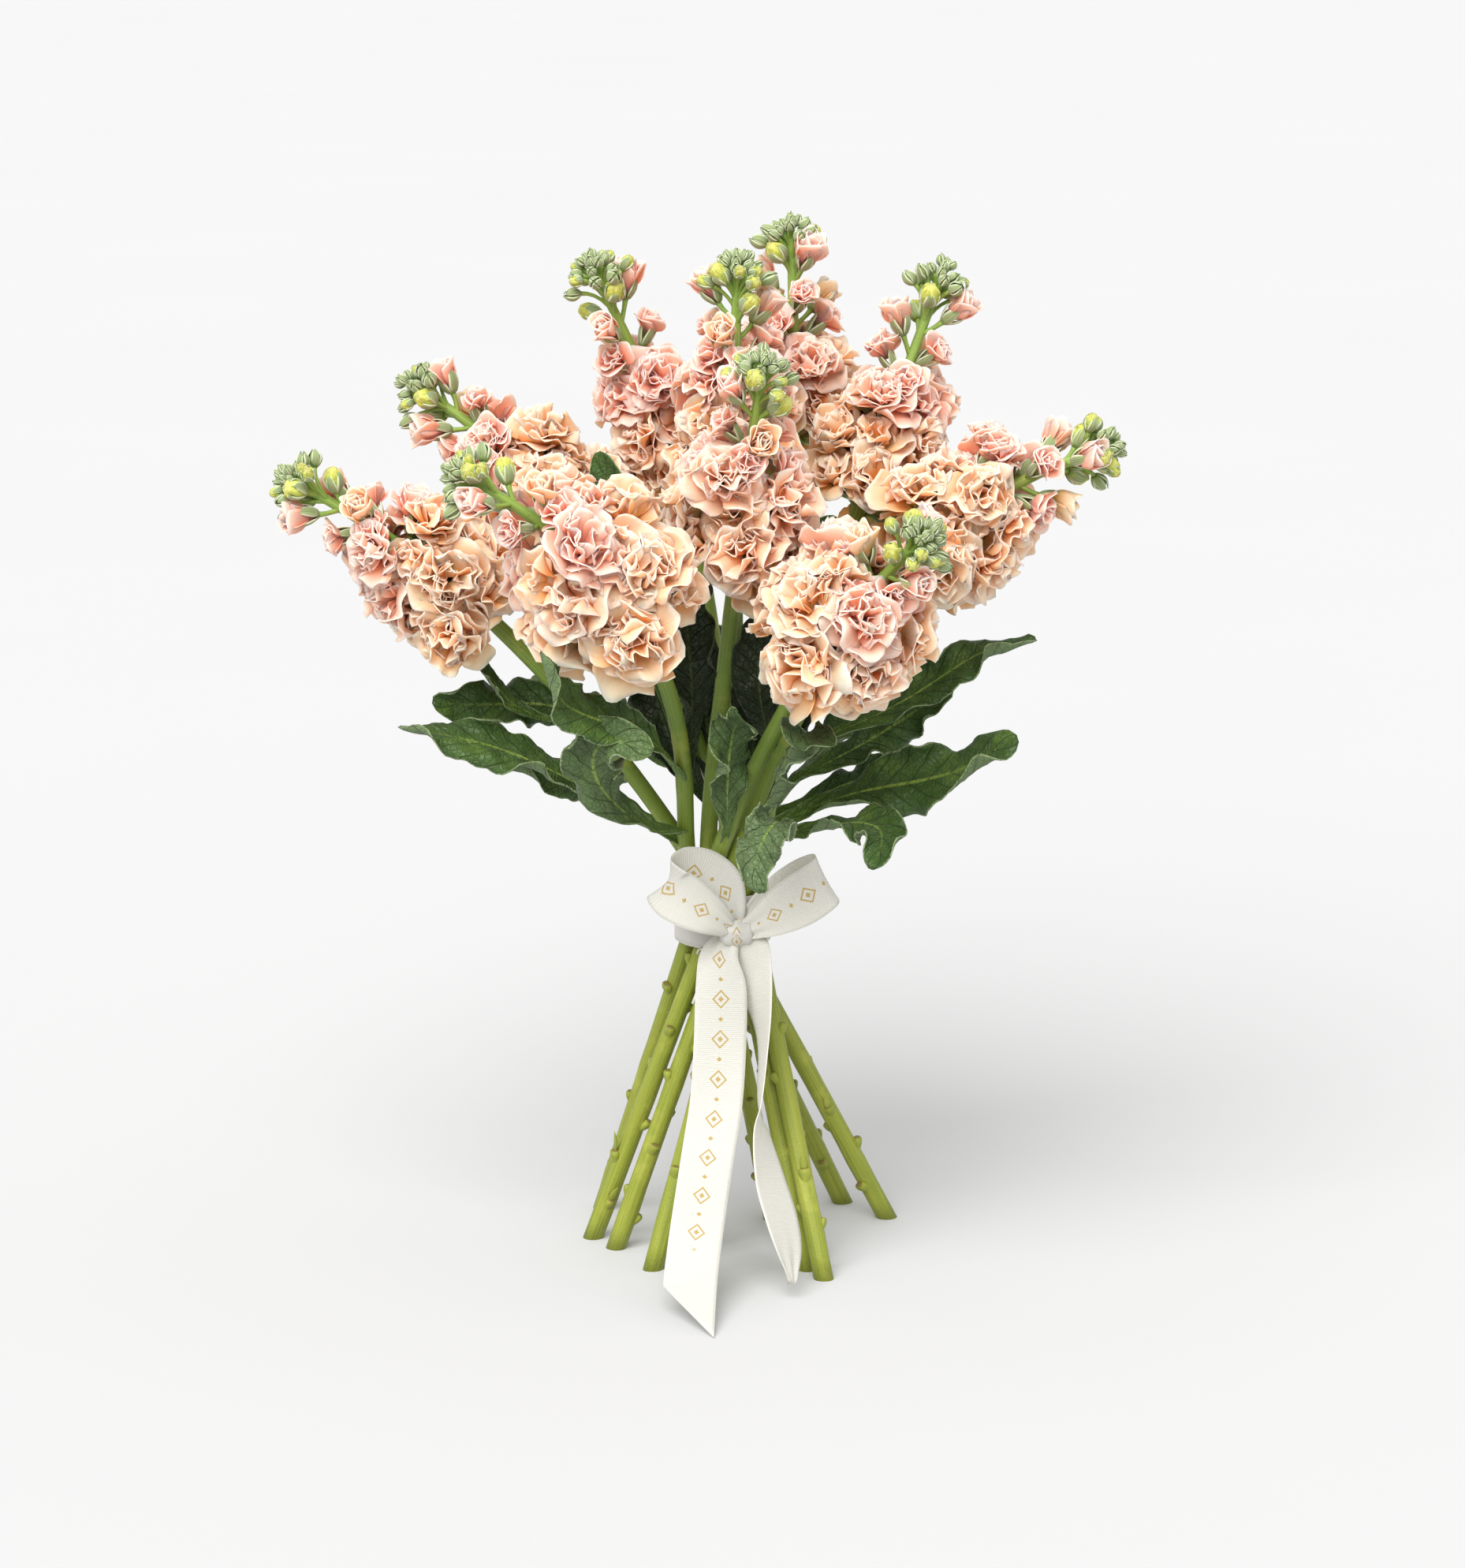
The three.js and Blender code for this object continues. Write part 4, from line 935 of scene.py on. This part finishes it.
def tones(colour, share=1.0, lift=0):
    """A setting's colour, from 0 to 255, made darker by a share or paler by a lift."""
    return tuple(min(int(int(c * 255) * share) + lift, 255) for c in colour)


class Finish:
    """A node material that is built up step by step."""

    def __init__(self, name, roughness, specular=0.5, **sockets):
        self.material = bpy.data.materials.new(name)
        self.material.use_nodes = True
        self.tree = self.material.node_tree
        self.tree.nodes.clear()
        self.shader = self.node("ShaderNodeBsdfPrincipled")
        out = self.node("ShaderNodeOutputMaterial")
        self.tree.links.new(self.shader.outputs["BSDF"], out.inputs["Surface"])
        self.shader.inputs["Roughness"].default_value = roughness
        self.shader.inputs["Specular IOR Level"].default_value = specular
        for socket, value in sockets.items():
            self.shader.inputs[socket.replace("_", " ")].default_value = value

    def node(self, kind, **settings):
        node = self.tree.nodes.new(kind)
        for key, value in settings.items():
            setattr(node, key, value)
        return node

    def plug(self, socket, value):
        """Links a socket, or gives it a number or a colour from 0 to 255."""
        if isinstance(value, bpy.types.NodeSocket):
            self.tree.links.new(value, socket)
        else:
            socket.default_value = linear(value) if isinstance(value, tuple) else value

    def mark(self, name):
        return self.node("ShaderNodeAttribute", attribute_name=name).outputs["Fac"]

    def place(self):
        return self.node("ShaderNodeTexCoord").outputs["Object"]

    def maths(self, operation, *values):
        node = self.node("ShaderNodeMath", operation=operation)
        for socket, value in zip(node.inputs, values):
            self.plug(socket, value)
        return node.outputs[0]

    def times(self, first, second):
        return self.maths("MULTIPLY", first, second)

    def plus(self, first, second):
        return self.maths("ADD", first, second)

    def less(self, first, second):
        return self.maths("SUBTRACT", first, second)

    def vector(self, x, y, z):
        node = self.node("ShaderNodeCombineXYZ")
        for socket, value in zip(node.inputs, (x, y, z)):
            self.plug(socket, value)
        return node.outputs[0]

    def noise(self, vector, scale, detail=3.0, roughness=0.5):
        node = self.node("ShaderNodeTexNoise")
        self.plug(node.inputs["Vector"], vector)
        node.inputs["Scale"].default_value = scale
        node.inputs["Detail"].default_value = detail
        node.inputs["Roughness"].default_value = roughness
        return node.outputs["Fac"]

    def span(self, value, low, high, to_low=0.0, to_high=1.0):
        node = self.node("ShaderNodeMapRange", interpolation_type="SMOOTHSTEP")
        for socket, given in zip(node.inputs, (value, low, high, to_low, to_high)):
            self.plug(socket, given)
        return node.outputs[0]

    def ramp(self, value, stops):
        node = self.node("ShaderNodeValToRGB")
        self.plug(node.inputs[0], value)
        elements = node.color_ramp.elements
        while len(elements) < len(stops):
            elements.new(0.5)
        for element, (at, colour) in zip(elements, stops):
            element.position = at
            element.color = linear(colour)
        return node.outputs["Color"]

    def blend(self, share, first, second, mode="MIX"):
        node = self.node("ShaderNodeMix", data_type="RGBA", blend_type=mode)
        self.plug(node.inputs[0], share)
        self.plug(node.inputs[6], first)
        self.plug(node.inputs[7], second)
        return node.outputs[2]

    def coats(self, base, *coats):
        """Colours laid over a base, each by its share."""
        for share, colour in coats:
            base = self.blend(share, base, colour)
        return base

    def done(self, colour, height=None, strength=0.0, distance=0.0):
        """The material, with its colour and the relief of its surface."""
        self.plug(self.shader.inputs["Base Color"], colour)
        if height is not None:
            node = self.node("ShaderNodeBump")
            self.plug(node.inputs["Height"], height)
            node.inputs["Strength"].default_value = strength
            node.inputs["Distance"].default_value = distance
            self.plug(self.shader.inputs["Normal"], node.outputs[0])
        return self.material


def petal_finish(name, settings, young):
    """Soft petals: yellow-green claw, warm folds, partly painted shade deep between the petals, and a pale
    margin; younger flowers are pinker.
    """
    f = Finish(name, 0.6, 0.3, Subsurface_Weight=0.6, Subsurface_Scale=0.005, Sheen_Weight=0.1)
    f.shader.inputs["Subsurface Radius"].default_value = (1.0, 0.42, 0.28)
    along, tone, age = f.mark("along"), f.mark("tone"), f.mark("age")
    margin, fold = tones(settings.margin_colour), tones(settings.fold_shade_colour)
    # The fold colour, deeper orange towards a petal's foot, is partly the petals' own colour there and partly
    # painted shade deep between the petals
    warm = f.ramp(along, ((0.0, (204, 200, 72)), (0.14, (246, 206, 120)), (0.34, fold),
                          (0.62, (255, 190, 146)), (0.86, margin), (1.0, (255, 220, 196))))
    pink = f.ramp(along, ((0.0, (206, 200, 92)), (0.14, (236, 140, 136)), (0.36, (252, 156, 134)),
                          (0.64, (255, 180, 160)), (0.86, (255, 202, 186)), (1.0, (255, 218, 206))))
    cream = f.ramp(along, ((0.0, (190, 196, 64)), (0.18, (246, 220, 132)), (0.42, (255, 212, 168)),
                           (1.0, (255, 232, 212))))
    patch = f.noise(f.place(), 22.0, 2.0)
    youth = f.span(f.plus(age, f.times(patch, 0.5)), 0.7 - young, 1.5 - young)
    colour = f.blend(f.span(tone, 0.6, 1.0, 0.0, 0.75), warm, cream)
    colour = f.blend(youth, colour, pink)
    streak = f.noise(f.vector(f.times(f.mark("across"), 9.0), f.times(along, 1.1), f.times(tone, 40.0)),
                     2.2, 4.0, 0.6)
    colour = f.blend(f.span(streak, 0.42, 0.75, 0.0, 0.2), colour, (250, 190, 160), "MULTIPLY")
    return f.done(colour, f.plus(streak, f.noise(f.place(), 420.0, 3.0)), 0.35, 0.0006)


def stem_finish(settings):
    """A fresh stem: streaks, paler patches, brown specks and scars; yellower below the tie, and darker
    between the tie and the spikes, where the darkening is painted shade among the leaves.
    """
    f = Finish("fresh stem", 0.45, 0.4, Subsurface_Weight=0.06, Subsurface_Scale=0.003)
    place = f.place()
    parts = f.node("ShaderNodeSeparateXYZ")
    f.plug(parts.inputs[0], place)
    height = parts.outputs["Z"]
    young, old = tones(settings.upper_colour), tones(settings.lower_colour)
    # Darker between the tie and the spikes: painted shade among the leaves and under the heads
    base = f.ramp(f.span(height, 0.08, 0.4),
                  ((0.0, old), (0.35, (128, 148, 58)), (0.55, (108, 132, 50)), (1.0, young)))
    streak = f.noise(f.vector(f.times(f.mark("across"), 7.0), f.times(height, 6.0),
                              f.times(f.mark("tone"), 30.0)), 3.0, 5.0, 0.6)
    scar = f.times(f.mark("age"), f.span(f.mark("along"), 0.72, 0.84, 0.0, 0.8))
    base = f.coats(base, (f.span(streak, 0.35, 0.7, 0.0, 0.6), (96, 116, 30)),
                   (f.span(f.noise(place, 60.0, 3.0), 0.55, 0.75, 0.0, 0.35), (186, 186, 82)),
                   (f.span(f.noise(place, 520.0, 2.0), 0.68, 0.78, 0.0, 0.6), (110, 80, 38)),
                   (scar, (112, 90, 44)))
    return f.done(base, f.plus(streak, f.noise(place, 900.0, 3.0)), 0.35, 0.0008)


def sepal_finish():
    """Grey-green downy sepals, striped, with pale margins."""
    f = Finish("downy sepal", 0.75, 0.25, Sheen_Weight=0.25)
    edge = f.span(f.maths("ABSOLUTE", f.mark("across")), 0.6, 0.97)
    stripe = f.span(f.noise(f.vector(f.times(f.mark("across"), 4.0), 0.0, f.mark("tone")), 3.0), 0.4, 0.6)
    base = f.coats((116, 134, 84), (stripe, (160, 172, 124)), (f.times(edge, 0.85), (222, 228, 194)),
                   (f.span(f.mark("along"), 0.0, 0.3, 0.8, 0.0), (142, 170, 88)))
    return f.done(base, f.noise(f.place(), 1400.0, 3.0), 0.4, 0.0004)


def bud_finish():
    """Yellow-green petals of a bud, creased; the shut buds are greener."""
    f = Finish("bud petals", 0.55, 0.35, Subsurface_Weight=0.15, Subsurface_Scale=0.002)
    along = f.mark("along")
    base = f.ramp(along, ((0.0, (122, 150, 74)), (0.5, (172, 188, 92)), (0.74, (206, 208, 96)),
                          (1.0, (226, 222, 136))))
    crease = f.noise(f.vector(f.times(f.mark("across"), 8.0), f.times(along, 4.0), f.mark("tone")), 1.4, 3.0)
    base = f.coats(base, (f.span(crease, 0.45, 0.7, 0.0, 0.6), (156, 168, 62)),
                   (f.mark("age"), (128, 146, 92)))
    return f.done(base, crease, 0.8, 0.0015)


def leaf_veins(f, place, along, across):
    """Where the fine net and the slanting side veins of a blade are."""
    cells = f.node("ShaderNodeTexVoronoi", feature="DISTANCE_TO_EDGE")
    f.plug(cells.inputs["Vector"], place)
    cells.inputs["Scale"].default_value = 330.0
    net = f.span(cells.outputs["Distance"], 0.0, 0.12, 1.0, 0.0)
    wobble = f.times(f.noise(place, 90.0, 2.0), 0.35)
    slant = f.less(f.times(along, 11.0), f.times(across, 1.6))
    side = f.maths("PINGPONG", f.plus(slant, wobble), 0.5)
    return net, f.span(side, 0.0, 0.07, 1.0, 0.0)


def leaf_finish(name, settings, under):
    """A dark downy blade with a pale midrib, side veins and a fine pale margin; the leaves in the middle get
    painted shade.
    """
    f = Finish(name, 0.46 if not under else 0.7, 0.35, Sheen_Weight=0.03 if not under else 0.12)
    f.shader.inputs["Sheen Tint"].default_value = (0.8, 0.9, 0.75, 1)
    place, along, across = f.place(), f.mark("along"), f.maths("ABSOLUTE", f.mark("across"))
    dark, light = tones(settings.blade_colour), tones(settings.blade_colour, lift=22)
    base = f.ramp(f.noise(place, 55.0, 4.0, 0.6), ((0.3, dark), (0.55, light), (0.8, (90, 118, 42))))
    base = f.coats(base, (f.times(f.mark("age"), 0.6), (104, 122, 84)))
    if under:
        base = f.coats(base, (0.6, (108, 126, 88)))
    net, vein = leaf_veins(f, place, along, across)
    rib = f.times(f.span(across, 0.03, 0.1, 1.0, 0.0), f.span(along, 0.5, 0.95, 0.9, 0.1))
    # The last coat is painted shade: blades marked with tone, the leaves in the middle of the bunch, are
    # darkened towards black-green
    base = f.coats(base, (f.times(vein, 0.14), (116, 140, 76)), (f.times(net, 0.08), (122, 140, 88)),
                   (rib, (128, 152, 66)), (f.span(along, 0.08, 0.36, 0.7, 0.0), (98, 128, 48)),
                   (f.span(across, 0.955, 0.995, 0.0, 0.8), (140, 156, 112)),
                   (f.times(f.mark("tone"), 0.8), (8, 16, 3)))
    relief = f.plus(f.times(vein, -1.0), f.times(net, -0.25))
    rough = f.plus(f.times(f.mark("age"), 2.0), 1.0)
    return f.done(base, f.plus(relief, f.times(f.noise(place, 130.0, 3.0), rough)), 0.8, 0.002)


def lozenge_row(f, along, across, pitch):
    """Where the outlined lozenges are, the dot in each and the bead between two."""
    repeat = f.maths("PINGPONG", along, pitch / 2)
    centred = f.maths("ABSOLUTE", across)
    shape = f.plus(f.maths("DIVIDE", repeat, 4.6), f.times(centred, 2.9))
    line = f.times(f.span(shape, 0.98, 1.0, 1.0, 0.0), f.span(shape, 0.74, 0.76))
    dot = f.span(shape, 0.3, 0.33, 1.0, 0.0)
    far = f.plus(f.maths("DIVIDE", f.less(pitch / 2, repeat), 1.2), f.times(centred, 9.0))
    bead = f.span(far, 0.9, 1.0, 1.0, 0.0)
    return f.maths("MINIMUM", f.plus(f.plus(line, dot), bead), 1.0)


def ribbon_finish(settings):
    """Ivory ribbed ribbon with a plain row of small gold lozenges."""
    f = Finish("ribbed ribbon", 0.55, 0.3, Sheen_Weight=0.2, Subsurface_Weight=0.3, Subsurface_Scale=0.003)
    f.shader.inputs["Subsurface Radius"].default_value = (1.0, 0.85, 0.6)
    along, across = f.mark("along"), f.mark("across")
    ribs = f.span(f.maths("SINE", f.times(along, 2 * math.pi / settings.rib_pitch)), -1.0, 1.0)
    cloth = settings.cloth_colour
    hem = f.span(f.maths("ABSOLUTE", across), 0.93, 0.97)
    gold = lozenge_row(f, along, across, settings.motif_pitch)
    gold = f.times(gold, f.less(1.0, f.mark("tone")))
    base = f.coats(tones(cloth, share=0.955), (ribs, tones(cloth)), (f.times(hem, 0.5), tones(cloth, lift=8)),
                   (gold, tones(settings.motif_colour)))
    return f.done(base, f.times(ribs, f.less(1.0, hem)), 0.35, 0.0003)


def string_finish():
    """Off-white string with its twist."""
    f = Finish("binding string", 0.85, 0.2, Sheen_Weight=0.3)
    twist = f.maths("SINE", f.plus(f.times(f.mark("along"), 2600.0), f.times(f.mark("across"), math.pi)))
    base = f.blend(f.span(twist, -1.0, 0.2), (206, 203, 190), (236, 234, 224))
    return f.done(base, twist, 0.5, 0.0004)


def floor_finish(settings):
    f = Finish("pale floor", 0.9, 0.2)
    shade = settings.floor_colour
    return f.done(f.blend(f.noise(f.place(), 2.0, 2.0), tones(shade), tones(shade, lift=2)))


# Settings that a user would change
def sized(name, description, default, low=0.0):
    return FloatProperty(name=name, description=description, default=default, min=low)


def coloured(name, description, colour):
    return FloatVectorProperty(name=name, description=description, subtype="COLOR_GAMMA", size=3,
                               min=0.0, max=1.0, default=[c / 255 for c in colour])


class PetalSettings(bpy.types.PropertyGroup):
    thickness: sized("Petal thickness", "Thickness of a petal in millimetres", 0.35, 0.1)
    crumple: sized("Crumple", "How far a petal is crumpled, as a share of the flower's radius", 0.14)
    margin_colour: coloured("Margin", "Colour of the petal margins", (255, 204, 168))
    # Partly painted shade: the deeper orange deep between the petals
    fold_shade_colour: coloured("Folds", "Colour deep between the petals", (255, 168, 96))


class StemSettings(bpy.types.PropertyGroup):
    upper_colour: coloured("Upper stem", "Colour of the stem among the buds", (152, 184, 88))
    lower_colour: coloured("Lower stem", "Colour of the stem below the tie", (150, 156, 56))


class LeafSettings(bpy.types.PropertyGroup):
    thickness: sized("Midrib thickness", "Thickness of a leaf at its midrib in millimetres", 2.4, 0.5)
    blade_colour: coloured("Blade", "Colour of the darkest part of the blade", (38, 66, 13))


class RibbonSettings(bpy.types.PropertyGroup):
    thickness: sized("Ribbon thickness", "Thickness of the ribbon in millimetres", 0.4, 0.1)
    rib_pitch: sized("Rib pitch", "Distance between two ribs of the weave in millimetres", 0.9, 0.2)
    motif_pitch: sized("Motif pitch", "Distance between two lozenges in millimetres", 19.0, 4.0)
    cloth_colour: coloured("Cloth", "Colour of the ribbon", (208, 205, 195))
    motif_colour: coloured("Motif", "Colour of the printed lozenges", (176, 150, 92))


class StudioSettings(bpy.types.PropertyGroup):
    floor_colour: coloured("Floor", "Colour of the floor", (196, 196, 196))
    key_strength: sized("Key light", "Strength of the soft key light in watts a square metre", 3.6)
    key_spread: sized("Softness", "Angle that the key light fills, in degrees", 50.0)
    top_strength: sized("Top light", "Strength of the broad light from above", 0.6)
    sky: sized("Sky", "Strength of the even light all round", 0.66)
    half_floor: IntProperty(name="Floor size", description="Half the width of the floor in metres",
                            default=60, min=1)


# Operators
class STOCK_OT_flower_heads(bpy.types.Operator):
    """Make the heads of open double flowers"""
    bl_idname = "stock.flower_heads"
    bl_label = "Flower heads"

    def execute(self, context):
        settings = context.scene.stock_petals
        finish = petal_finish("open petals", settings, 0.0)
        for head in HEADS:
            bm = new_mesh()
            for bloom in open_flowers(head):
                petals_of(bm, bloom, WHORLS[bloom.kind], settings.crumple)
            finish_mesh(bm, f"flower_head_{head.name}", finish, [f"bloom_{head.name}"],
                        settings.thickness)
        return {"FINISHED"}


class STOCK_OT_young_flowers(bpy.types.Operator):
    """Make the young and half-open flowers of each spike"""
    bl_idname = "stock.young_flowers"
    bl_label = "Half-open flowers"

    def execute(self, context):
        settings = context.scene.stock_petals
        finish = petal_finish("young petals", settings, 0.55)
        for head in HEADS:
            bm = new_mesh()
            half_open = [bloom for bloom in upper_flowers(head) if bloom.kind == "half"]
            for bloom in half_open + young_flowers(head):
                petals_of(bm, bloom, WHORLS[bloom.kind], settings.crumple * 0.6)
            finish_mesh(bm, f"young_flowers_{head.name}", finish, (), settings.thickness)
        return {"FINISHED"}


class STOCK_OT_stems(bpy.types.Operator):
    """Make the stems with their stalks, calyxes and buds"""
    bl_idname = "stock.stems"
    bl_label = "Stems and buds"

    def execute(self, context):
        green = stem_finish(context.scene.stock_stems)
        downy, bud = sepal_finish(), bud_finish()
        for head in HEADS:
            greens, sepal_sheets, bodies = calyxes_and_stalks(head)
            stem_tube(greens, head)
            leaf_scars(greens, head)
            finish_mesh(greens, f"stem_and_stalks_{head.name}", green, [f"stem_{head.name}"])
            finish_mesh(sepal_sheets, f"calyxes_{head.name}", downy, (), 0.5)
            finish_mesh(bodies, f"buds_{head.name}", bud)
        return {"FINISHED"}


class STOCK_OT_leaves(bpy.types.Operator):
    """Make the long waved leaves"""
    bl_idname = "stock.leaves"
    bl_label = "Leaves"

    def execute(self, context):
        settings = context.scene.stock_leaves
        face = leaf_finish("leaf face", settings, False)
        back = leaf_finish("leaf back", settings, True)
        for index, leaf in enumerate(LEAVES, 1):
            bm = new_mesh()
            leaf_blade(bm, leaf, index)
            name = f"leaf_{index:02d}"
            piece = finish_mesh(bm, f"blade_{index:02d}", face, [name], settings.thickness, -1.0)
            piece.data.materials.append(back)
            piece.vertex_groups.new(name="rib")
            wall = piece.modifiers["wall"]
            wall.vertex_group = "rib"
            wall.material_offset = 1
        return {"FINISHED"}


class STOCK_OT_ribbon(bpy.types.Operator):
    """Make the ribbon: band, knot, bow loops and tails"""
    bl_idname = "stock.ribbon"
    bl_label = "Ribbon"

    def execute(self, context):
        settings = context.scene.stock_ribbon
        bm = new_mesh()
        length = ribbon_strip(bm, FRONT_TAIL, 0.3, FRONT_TAIL_TIP, 40.0)
        length += ribbon_strip(bm, RIGHT_TAIL, 1, plain=400.0)
        length += ribbon_strip(bm, LEFT_LOOP, 2)
        length += ribbon_strip(bm, RIGHT_LOOP, 3)
        ribbon_band(bm)
        ribbon_knot(bm)
        length += 2 * math.pi * (BAND["radius"] + KNOT_SIZE.z)
        cloth = ribbon_finish(settings)
        piece = finish_mesh(bm, "tied_ribbon", cloth, ["ribbon"], settings.thickness)
        return {"FINISHED"}


class STOCK_OT_string(bpy.types.Operator):
    """Make the string that binds the stems under the ribbon"""
    bl_idname = "stock.string"
    bl_label = "Binding string"

    def execute(self, context):
        bm = new_mesh()
        string_coil(bm)
        string_knot(bm)
        finish_mesh(bm, "string_binding", string_finish(), ["binding"])
        return {"FINISHED"}


KEY_FROM = Vector((-0.35, -0.95, 1.1))
TOP_FROM = Vector((0.1, -0.25, 1.0))
TOP_SPREAD = 120.0


def soft_light(name, strength, spread, source):
    """A broad light from the direction of the source."""
    data = bpy.data.lights.new(name, "SUN")
    data.energy = strength
    data.angle = math.radians(spread)
    lamp = bpy.data.objects.new(name, data)
    lamp.rotation_euler = (-source).to_track_quat("-Z", "Y").to_euler()
    bpy.context.scene.collection.objects.link(lamp)


def photo_camera():
    data = bpy.data.cameras.new("photo_camera")
    data.sensor_fit = "VERTICAL"
    data.sensor_height = CAMERA_SENSOR
    data.lens = CAMERA_SENSOR * FOCAL_PIXELS / PHOTO_HEIGHT
    data.clip_end = 100
    camera = bpy.data.objects.new("photo_camera", data)
    camera.location = (CAMERA_PLACE + ORIGIN_SHIFT) * MM
    camera.rotation_euler = (math.pi / 2 - CAMERA_DOWN, 0, 0)
    bpy.context.scene.collection.objects.link(camera)
    bpy.context.scene.camera = camera


class STOCK_OT_studio(bpy.types.Operator):
    """Make the floor, the soft studio light and the camera"""
    bl_idname = "stock.studio"
    bl_label = "Studio"

    def execute(self, context):
        settings = context.scene.stock_studio
        bm = bmesh.new()
        bmesh.ops.create_grid(bm, x_segments=1, y_segments=1, size=settings.half_floor)
        new_object("floor", bm, floor_finish(settings))
        world = bpy.data.worlds.new("soft_studio")
        world.use_nodes = True
        background = world.node_tree.nodes["Background"]
        background.inputs["Color"].default_value = (1.0, 1.0, 1.0, 1.0)
        background.inputs["Strength"].default_value = settings.sky
        context.scene.world = world
        soft_light("key", settings.key_strength, settings.key_spread, KEY_FROM)
        soft_light("top", settings.top_strength, TOP_SPREAD, TOP_FROM)
        photo_camera()
        context.scene.view_settings.view_transform = "Standard"
        return {"FINISHED"}


class STOCK_PT_bunch(bpy.types.Panel):
    """The pieces of the bunch"""
    bl_idname = "STOCK_PT_bunch"
    bl_label = "Bunch of stock"
    bl_space_type = "VIEW_3D"
    bl_region_type = "UI"
    bl_category = "Stock"

    def draw(self, context):
        for operator in OPERATORS:
            self.layout.operator(operator.bl_idname)
        for name, group in SETTINGS.items():
            box = self.layout.box()
            for key in group.__annotations__:
                box.prop(getattr(context.scene, name), key)


SETTINGS = {
    "stock_petals": PetalSettings,
    "stock_stems": StemSettings,
    "stock_leaves": LeafSettings,
    "stock_ribbon": RibbonSettings,
    "stock_studio": StudioSettings,
}
OPERATORS = (
    STOCK_OT_stems,
    STOCK_OT_flower_heads,
    STOCK_OT_young_flowers,
    STOCK_OT_leaves,
    STOCK_OT_string,
    STOCK_OT_ribbon,
    STOCK_OT_studio,
)


def register():
    for cls in (*SETTINGS.values(), *OPERATORS, STOCK_PT_bunch):
        bpy.utils.register_class(cls)
    for name, group in SETTINGS.items():
        setattr(bpy.types.Scene, name, PointerProperty(type=group))


def unregister():
    for name in SETTINGS:
        delattr(bpy.types.Scene, name)
    for cls in (STOCK_PT_bunch, *reversed(OPERATORS), *reversed(tuple(SETTINGS.values()))):
        bpy.utils.unregister_class(cls)


def main():
    register()
    bpy.ops.stock.stems()
    bpy.ops.stock.flower_heads()
    bpy.ops.stock.young_flowers()
    bpy.ops.stock.leaves()
    bpy.ops.stock.string()
    bpy.ops.stock.ribbon()
    bpy.ops.stock.studio()
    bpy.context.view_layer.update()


if __name__ == "__main__":
    main()
